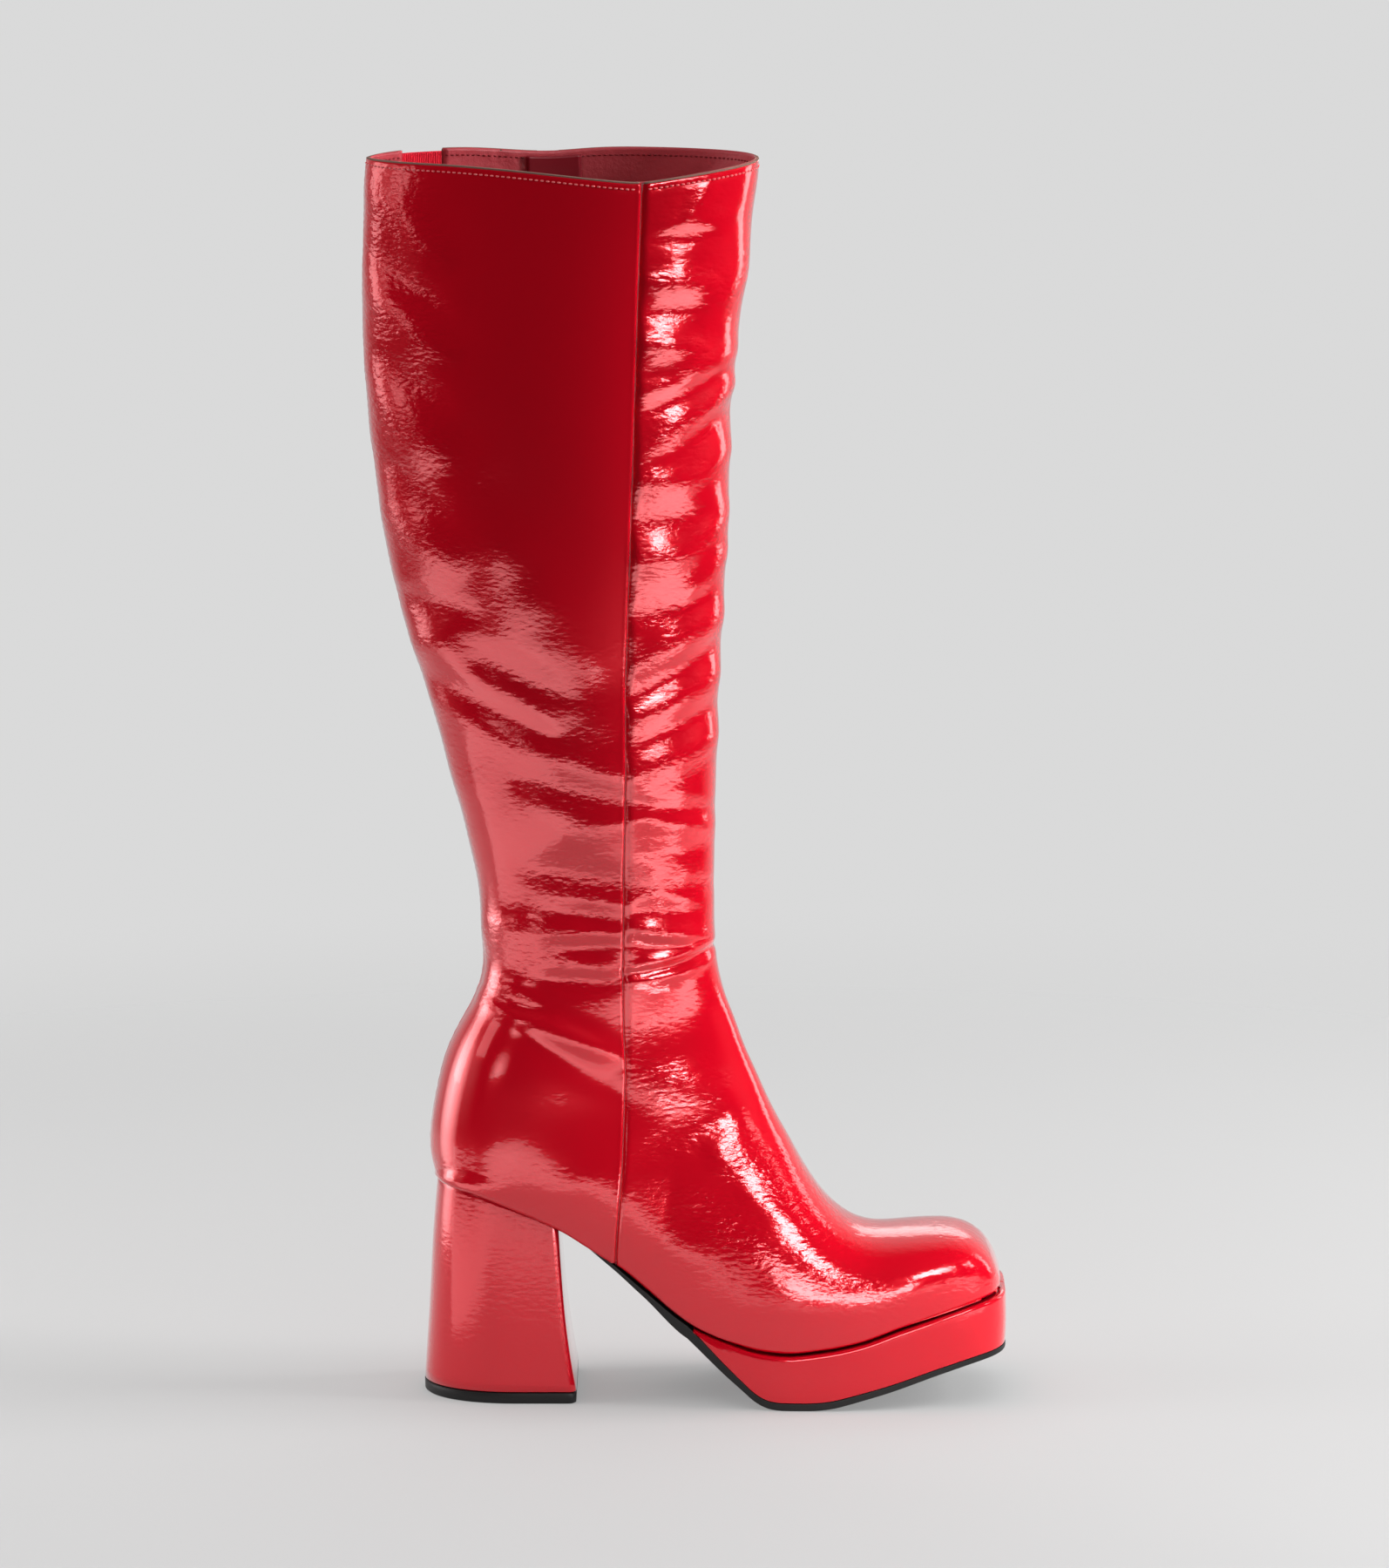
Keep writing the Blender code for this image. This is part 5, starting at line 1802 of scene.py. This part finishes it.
    def heel_half(self, side: Side, rows: Array, inset: Array) -> Array:
        """One half of the heel: at each level a flat breast with rounded corners and a round back.
        The first and last level fall to the middle line.

        Args:
            side: Outer or inner side.
            rows: Levels as share, back x, front x and half width.
            inset: How far each level's outline is set in.

        Returns:
            Outline steps by levels by three, without heights.
        """
        turn = np.linspace(0, math.pi / 2, self.corner_steps)
        back = 1 - np.sin(np.linspace(0, math.pi / 2, self.back_steps + 1))[1:]
        inset = inset[:, None]
        rear, front, width = (rows[:, k, None] for k in (1, 2, 3))
        span = front - rear
        arc_x = front - inset - self.heel_corner * (1 - np.cos(turn))
        side_x = rear + inset + (span - 2 * inset - self.heel_corner) * back
        arc_share = (arc_x - rear) / span
        side_share = (side_x - rear - inset) / span
        arc_w, side_w = (
            (width - inset) * quarter_round(1 - share / self.heel_round, self.heel_power)
            for share in (arc_share, side_share)
        )
        arc_w = arc_w - self.heel_corner * (1 - np.sin(turn))
        x = np.concatenate([arc_x, side_x], axis=1)
        y = np.concatenate([arc_w, side_w], axis=1)
        y[[0, -1]] = 0.0
        return np.stack([x, side.value * y, np.zeros_like(x)], axis=-1).swapaxes(0, 1)

    def build_levels(self, part: Part, rows: Array, inset: Array, height: Height) -> None:
        """A solid of heel levels from both halves.

        Args:
            part: Which piece it is.
            rows: Levels as share, back x, front x and half width.
            inset: How far each level's outline is set in.
            height: Gives the height at every x of a half.
        """
        halves = [self.heel_half(side, rows, inset) for side in Side]
        for half in halves:
            half[..., 2] = height(half[..., 0])
        points, faces = solid_of_halves(*halves)
        self.frame.build(part, points, faces[:, ::-1], weld=0.01)

    def build_heel(self) -> None:
        """The covered heel block, whose levels pass from its flat foot to the slope of the seat."""
        shares = np.pad(np.linspace(0.0, 1.0, self.heel_steps), 3, mode="edge")
        inset, raised = np.zeros((2, len(shares)))
        inset[[0, 1, -2, -1]] = self.flat_inset
        (inset[2], raised[3]), (inset[-3], raised[-4]) = self.heel_edges
        levels = np.array(self.heel_levels)
        columns = [natural_spline(levels[:, 0], levels[:, k], shares) for k in (1, 2, 3)]
        foot = self.lift_height + self.gap

        def height(x: Array) -> Array:
            """Height of each level, in shares from the foot to the seat."""
            seat = self.last.height(np.maximum(x, self.last.heel_x)) - self.seat_gap
            return foot + shares * (seat - foot) + raised

        part = Part("heel_cover", ("cover",), "patent_red", "heel_block")
        self.build_levels(part, np.stack([shares, *columns], axis=-1), inset, height)

    def build_lift(self) -> None:
        """The rubber lift that the heel stands on."""
        wall = np.pad(np.array(self.lift_wall), ((2, 2), (0, 0)), mode="edge")
        wall[[0, 1, -2, -1], 1] = self.flat_inset
        rows = np.repeat(np.array(self.heel_levels[:1]), len(wall), axis=0)

        def height(x: Array) -> Array:
            """Height of each level, the same all round."""
            return wall[:, 0] + 0 * x

        part = Part("heel_tip", ("rubber",), "rubber_black", "heel_lift")
        self.build_levels(part, rows, wall[:, 1], height)

    def build(self) -> None:
        """Builds every piece of the sole."""
        self.build_platform()
        self.build_outsole()
        self.build_insole()
        self.build_heel()
        self.build_lift()


# The studio

MIDDLE: Triple = (0.0, 0.0, 0.28)
APRON_HEIGHT = 0.012


@dataclass(frozen=True)
class Panel:
    """A soft panel of light: sizes in metres, brightness of its face, spread in degrees."""

    name: str
    place: Triple
    aim: Triple
    size: Pair
    radiance: float
    use: Use = Use.GLOSS
    spread: float = 180.0

    def build(self) -> None:
        """Adds the light, seen by what its use says and never by the camera."""
        data = bpy.data.lights.new(self.name, "AREA")
        data.shape = "RECTANGLE"
        data.spread = math.radians(self.spread)
        data.size, data.size_y = self.size
        data.energy = self.radiance * math.pi * self.size[0] * self.size[1]
        lamp = bpy.data.objects.new(self.name, data)
        lamp.location = self.place
        way = Vector(self.aim) - Vector(self.place)
        lamp.rotation_euler = way.to_track_quat("-Z", "Y").to_euler()
        lamp.visible_camera = False
        lamp.visible_diffuse = self.use is not Use.GLOSS
        lamp.visible_glossy = self.use is not Use.LIGHT
        bpy.context.scene.collection.objects.link(lamp)


def apron(name: str, x: float, y: float, width: float, depth: float, radiance: float) -> Panel:
    """A panel that lies just over the floor in front of the boot and faces up."""
    return Panel(name, (x, y, APRON_HEIGHT), (x, y, 1.0), (width, depth), radiance)


@dataclass
class Studio:
    """Plain pale floor and soft studio light, with the camera."""

    frame: Frame
    camera_x: float = 107.5
    camera_y: float = -3600.0
    camera_z: float = 900.0
    pitch: float = 10.18
    lens: float = 204.89
    backdrop: float = 0.70
    # The room as the gloss sees it, as fades along x and z, multiplied, and y, added to them:
    # where each starts and ends, and its brightness there.
    room_x: tuple[float, ...] = (-0.86, -0.99, 0.0, 0.4)
    room_z: tuple[float, ...] = (-0.08, 0.1, 0.15, 1.0)
    room_y: tuple[float, ...] = (0.2, 0.8, 0.015, 0.5)
    floor_radii: tuple[float, ...] = (0.0001, 600.0, 1200.0, 2600.0)
    floor_steps: int = 96
    floor_tone: float = 0.33
    floor_glow: float = 0.26
    floor_roughness: float = 0.9
    floor_specular: float = 0.1
    # Distances in metres between which the floor fades away.
    floor_fade: Pair = (0.6, 1.05)
    above: float = 2.1
    panels: tuple[Panel, ...] = (
        # Light from the toe side, the heel side and low at the toe.
        Panel("key", (1.55, 0.0, 0.75), MIDDLE, (0.8, 1.0), 13.0, Use.LIGHT),
        Panel("shaft_key", (1.4, -0.35, 0.9), (0.0, 0.0, 0.48), (0.4, 0.4), 0.9, Use.LIGHT, 30.0),
        Panel("heel_side", (-1.45, -0.15, 0.7), MIDDLE, (0.6, 0.8), 5.4, Use.LIGHT),
        Panel(
            "toe_card", (0.52, -0.55, 0.03), (0.12, -0.01, 0.07), (0.15, 0.1), 3.4, Use.LIGHT, 36.0
        ),
        # What the gloss mirrors: high in front, along the shaft, at toe, vamp, ankle and back.
        Panel("high", (0.8, -1.46, 1.08), MIDDLE, (0.6, 0.5), 15.0),
        Panel("strip", (0.64, -0.66, 0.62), (0.0, 0.0, 0.46), (0.2, 0.3), 0.2, spread=20.0),
        Panel("shin", (0.36, -0.58, 0.43), (-0.01, -0.03, 0.2), (0.14, 0.12), 0.1, spread=20.0),
        Panel(
            "toe_spot", (0.46, -0.14, 0.33), (0.115, -0.032, 0.059), (0.1, 0.12), 0.12, spread=20.0
        ),
        Panel("vamp_low", (0.081, -0.17, 0.07), (0.075, -0.04, 0.056), (0.12, 0.032), 9.0),
        Panel("ankle", (-0.38, -0.41, 0.24), (-0.06, -0.03, 0.2), (0.3, 0.16), 0.03, spread=20.0),
        Panel(
            "heel_back", (-0.45, 0.06, 0.16), (-0.09, -0.02, 0.14), (0.3, 0.3), 0.28, spread=46.0
        ),
        Panel("back_band", (-1.48, 0.26, 0.55), MIDDLE, (0.5, 0.7), 1.8),
        Panel("back_dim", (-1.4, -0.5, 0.62), MIDDLE, (0.4, 0.35), 1.2),
        Panel("inner_soft", (0.1, 1.3, 0.62), MIDDLE, (0.8, 0.4), 1.2),
        Panel("edge_front", (1.0, 0.55, 0.5), (0.0, 0.0, 0.35), (0.25, 0.7), 2.5),
        apron("apron_left", -0.5, -0.27, 0.6, 0.44, 0.95),
        apron("apron_near", 0.0, -0.415, 0.4, 0.15, 0.75),
        apron("apron_heel", -0.4, -0.72, 0.4, 0.46, 1.3),
        apron("apron", -0.02, -0.72, 0.36, 0.46, 1.1),
        apron("apron_shin", 0.28, -0.72, 0.24, 0.46, 2.1),
        apron("apron_toe", 0.6, -0.52, 0.5, 0.7, 2.5),
    )

    def build_camera(self) -> None:
        """A long lens in front of the boot's outer side, looking slightly down."""
        data = bpy.data.cameras.new("camera")
        data.sensor_fit = "VERTICAL"
        data.sensor_height = 36.0
        data.lens = self.lens
        data.clip_end = 100.0
        camera = bpy.data.objects.new("camera", data)
        place = np.array([self.camera_x, self.camera_y, self.camera_z]) + self.frame.shift
        camera.location = place * MM
        camera.rotation_euler = (math.radians(90 - self.pitch), 0, 0)
        bpy.context.scene.collection.objects.link(camera)
        bpy.context.scene.camera = camera

    def build_world(self) -> None:
        """A pale backdrop for the eye, and a room for the gloss that is dark in front of the boot,
        pale behind it and pale far to its left."""
        world = bpy.data.worlds.new("studio")
        nodes = Nodes(world)
        split = nodes.add("SeparateXYZ", Vector=nodes.add("TexCoord").outputs["Generated"])
        axes = (("X", self.room_x), ("Z", self.room_z), ("Y", self.room_y))
        fades = [nodes.fade(split.outputs[axis], *values) for axis, values in axes]
        glow = nodes.maths("Math", "MULTIPLY_ADD", *fades)
        room = nodes.add("Background", Color=(1.0, 1.0, 1.0, 1.0), Strength=glow)
        pale = nodes.add("Background", Color=(self.backdrop, self.backdrop, self.backdrop, 1.0))
        path = nodes.add("LightPath")
        mix = nodes.add("MixShader")
        parts = (path.outputs["Is Camera Ray"], room.outputs[0], pale.outputs[0])
        for socket, value in zip(mix.inputs, parts):
            nodes.join(socket, value)
        nodes.add("OutputWorld", Surface=mix.outputs[0])
        bpy.context.scene.world = world

    def build_floor(self) -> None:
        """A round pale floor that fades into the backdrop."""
        turn = np.linspace(0, 2 * math.pi, self.floor_steps + 1)[:-1]
        radii = np.array(self.floor_radii)[:, None]
        points = np.stack([radii * np.cos(turn), radii * np.sin(turn), 0 * radii * turn], axis=-1)
        material = bpy.data.materials.new("floor")
        nodes = Nodes(material)
        place = nodes.add("TexCoord").outputs["Object"]
        length = nodes.add("VectorMath", {"operation": "LENGTH"}, Vector=place)
        nodes.surface(
            Base_Color=(self.floor_tone, self.floor_tone, self.floor_tone, 1.0),
            Roughness=self.floor_roughness,
            Specular_IOR_Level=self.floor_specular,
            Emission_Color=(1.0, 1.0, 1.0, 1.0),
            Emission_Strength=self.floor_glow,
            Alpha=nodes.fade(length.outputs["Value"], *self.floor_fade, 1.0, 0.0),
        )
        faces = grid_faces(*points.shape[:2], closed=True)[:, ::-1]
        floor = self.frame.mesh("floor", points, faces)
        floor.data.materials.append(material)
        floor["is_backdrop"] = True

    def build_lights(self) -> None:
        """Every panel, and a soft glow from above that isn't mirrored."""
        for panel in self.panels:
            panel.build()
        data = bpy.data.lights.new("above", "SUN")
        data.energy = self.above
        data.angle = math.radians(90)
        lamp = bpy.data.objects.new("above", data)
        lamp.visible_glossy = False
        bpy.context.scene.collection.objects.link(lamp)

    def build(self) -> None:
        """Sets the studio up."""
        self.build_camera()
        self.build_world()
        self.build_floor()
        self.build_lights()
        scene = bpy.context.scene
        scene.view_settings.view_transform = "Standard"
        scene.view_settings.look = "None"


def make_finishes() -> Finishes:
    """Every finish of the boot by name."""
    finishes = {
        "patent": PatentFinish("patent_red"),
        "cover": PatentFinish("patent_cover", coat_ior=1.45, crinkle=0.12, uses_attribute=False),
        "lining": GrainFinish("lining_red", (0.5, 0.06, 0.075), 0.38, 0.9, 420.0),
        # Darker copy of the lining red for the flap set deep behind the zip: painted shade.
        "guard": GrainFinish("guard_shaded_lining", (0.22, 0.005, 0.014), 0.35, 0.1),
        "elastic": GrainFinish("elastic_red", (0.75, 0.006, 0.03), 0.7, 0.4, 1500.0),
        "cut_edge": GrainFinish("cut_edge", (0.2, 0.11, 0.085), 0.8, 0.8),
        # Near black red on the panels' cut edges: painted shade that darkens the seams between the
        # panels.
        "seam_shade_edge": GrainFinish("seam_shade_edge", (0.06, 0.001, 0.003), 0.9, 0.2, 900.0, 0.0),
        "sock": GrainFinish("sock_red", (0.20, 0.006, 0.012), 0.6, 0.3),
        # Pale pink thread: a painted highlight, the glints on the collar stitches painted into the
        # thread's red.
        "thread": GrainFinish("thread_painted_glint", (0.82, 0.14, 0.15), 0.28, 0.2, 3000.0, 0.6),
        "lining_thread": GrainFinish("lining_thread", (0.22, 0.006, 0.012), 0.6, 0.3, 3000.0),
        "tape": GrainFinish("tape_red", (0.32, 0.004, 0.012), 0.75, 0.5, 2200.0),
        "teeth": GrainFinish("teeth_red", (0.42, 0.004, 0.014), 0.35, 0.05),
        "metal": MetalFinish("zip_metal"),
        "rubber": GrainFinish("rubber_black", (0.012, 0.011, 0.011), 0.5, 0.15),
    }
    return {name: finish.material() for name, finish in finishes.items()}


def main() -> None:
    """Builds the boot's looks and the studio round it."""
    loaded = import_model()
    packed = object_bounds()
    low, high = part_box("heel_lift")
    shift = np.array([high.x / MM - LIFT_FRONT, (low.y + high.y) / 2 / MM, 0.0])
    frame = Frame(shift, make_finishes())
    last = Last()
    form = UpperForm(last, Creases())
    log.info("form: %d rows, %d columns", form.rows, form.columns)
    upper = Upper(frame, form)
    upper.build()
    hinge = loaded["joints"][0]
    across = -unit(np.array(hinge["axis"]))
    points, _, _ = upper.zip_path()
    near = int(np.argmin(np.abs(points[:, 2] - hinge["pos_m"][2] / MM)))
    up = points[near - 3] - points[near + 3]
    up = unit(up - across * (up @ across))
    axis_point = np.array(hinge["pos_m"]) / MM - shift
    ZipSlider(frame, axis_point, across, up).build()
    Sole(frame, last).build()
    Studio(frame).build()
    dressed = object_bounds()
    for axis, name in enumerate("xyz"):
        ends = [box[end][axis] / MM for box in (packed, dressed) for end in (0, 1)]
        log.info("%s: packed %.1f to %.1f, dressed %.1f to %.1f", name, *ends)


if __name__ == "__main__":
    logging.basicConfig(level=logging.INFO, format="%(message)s")
    main()
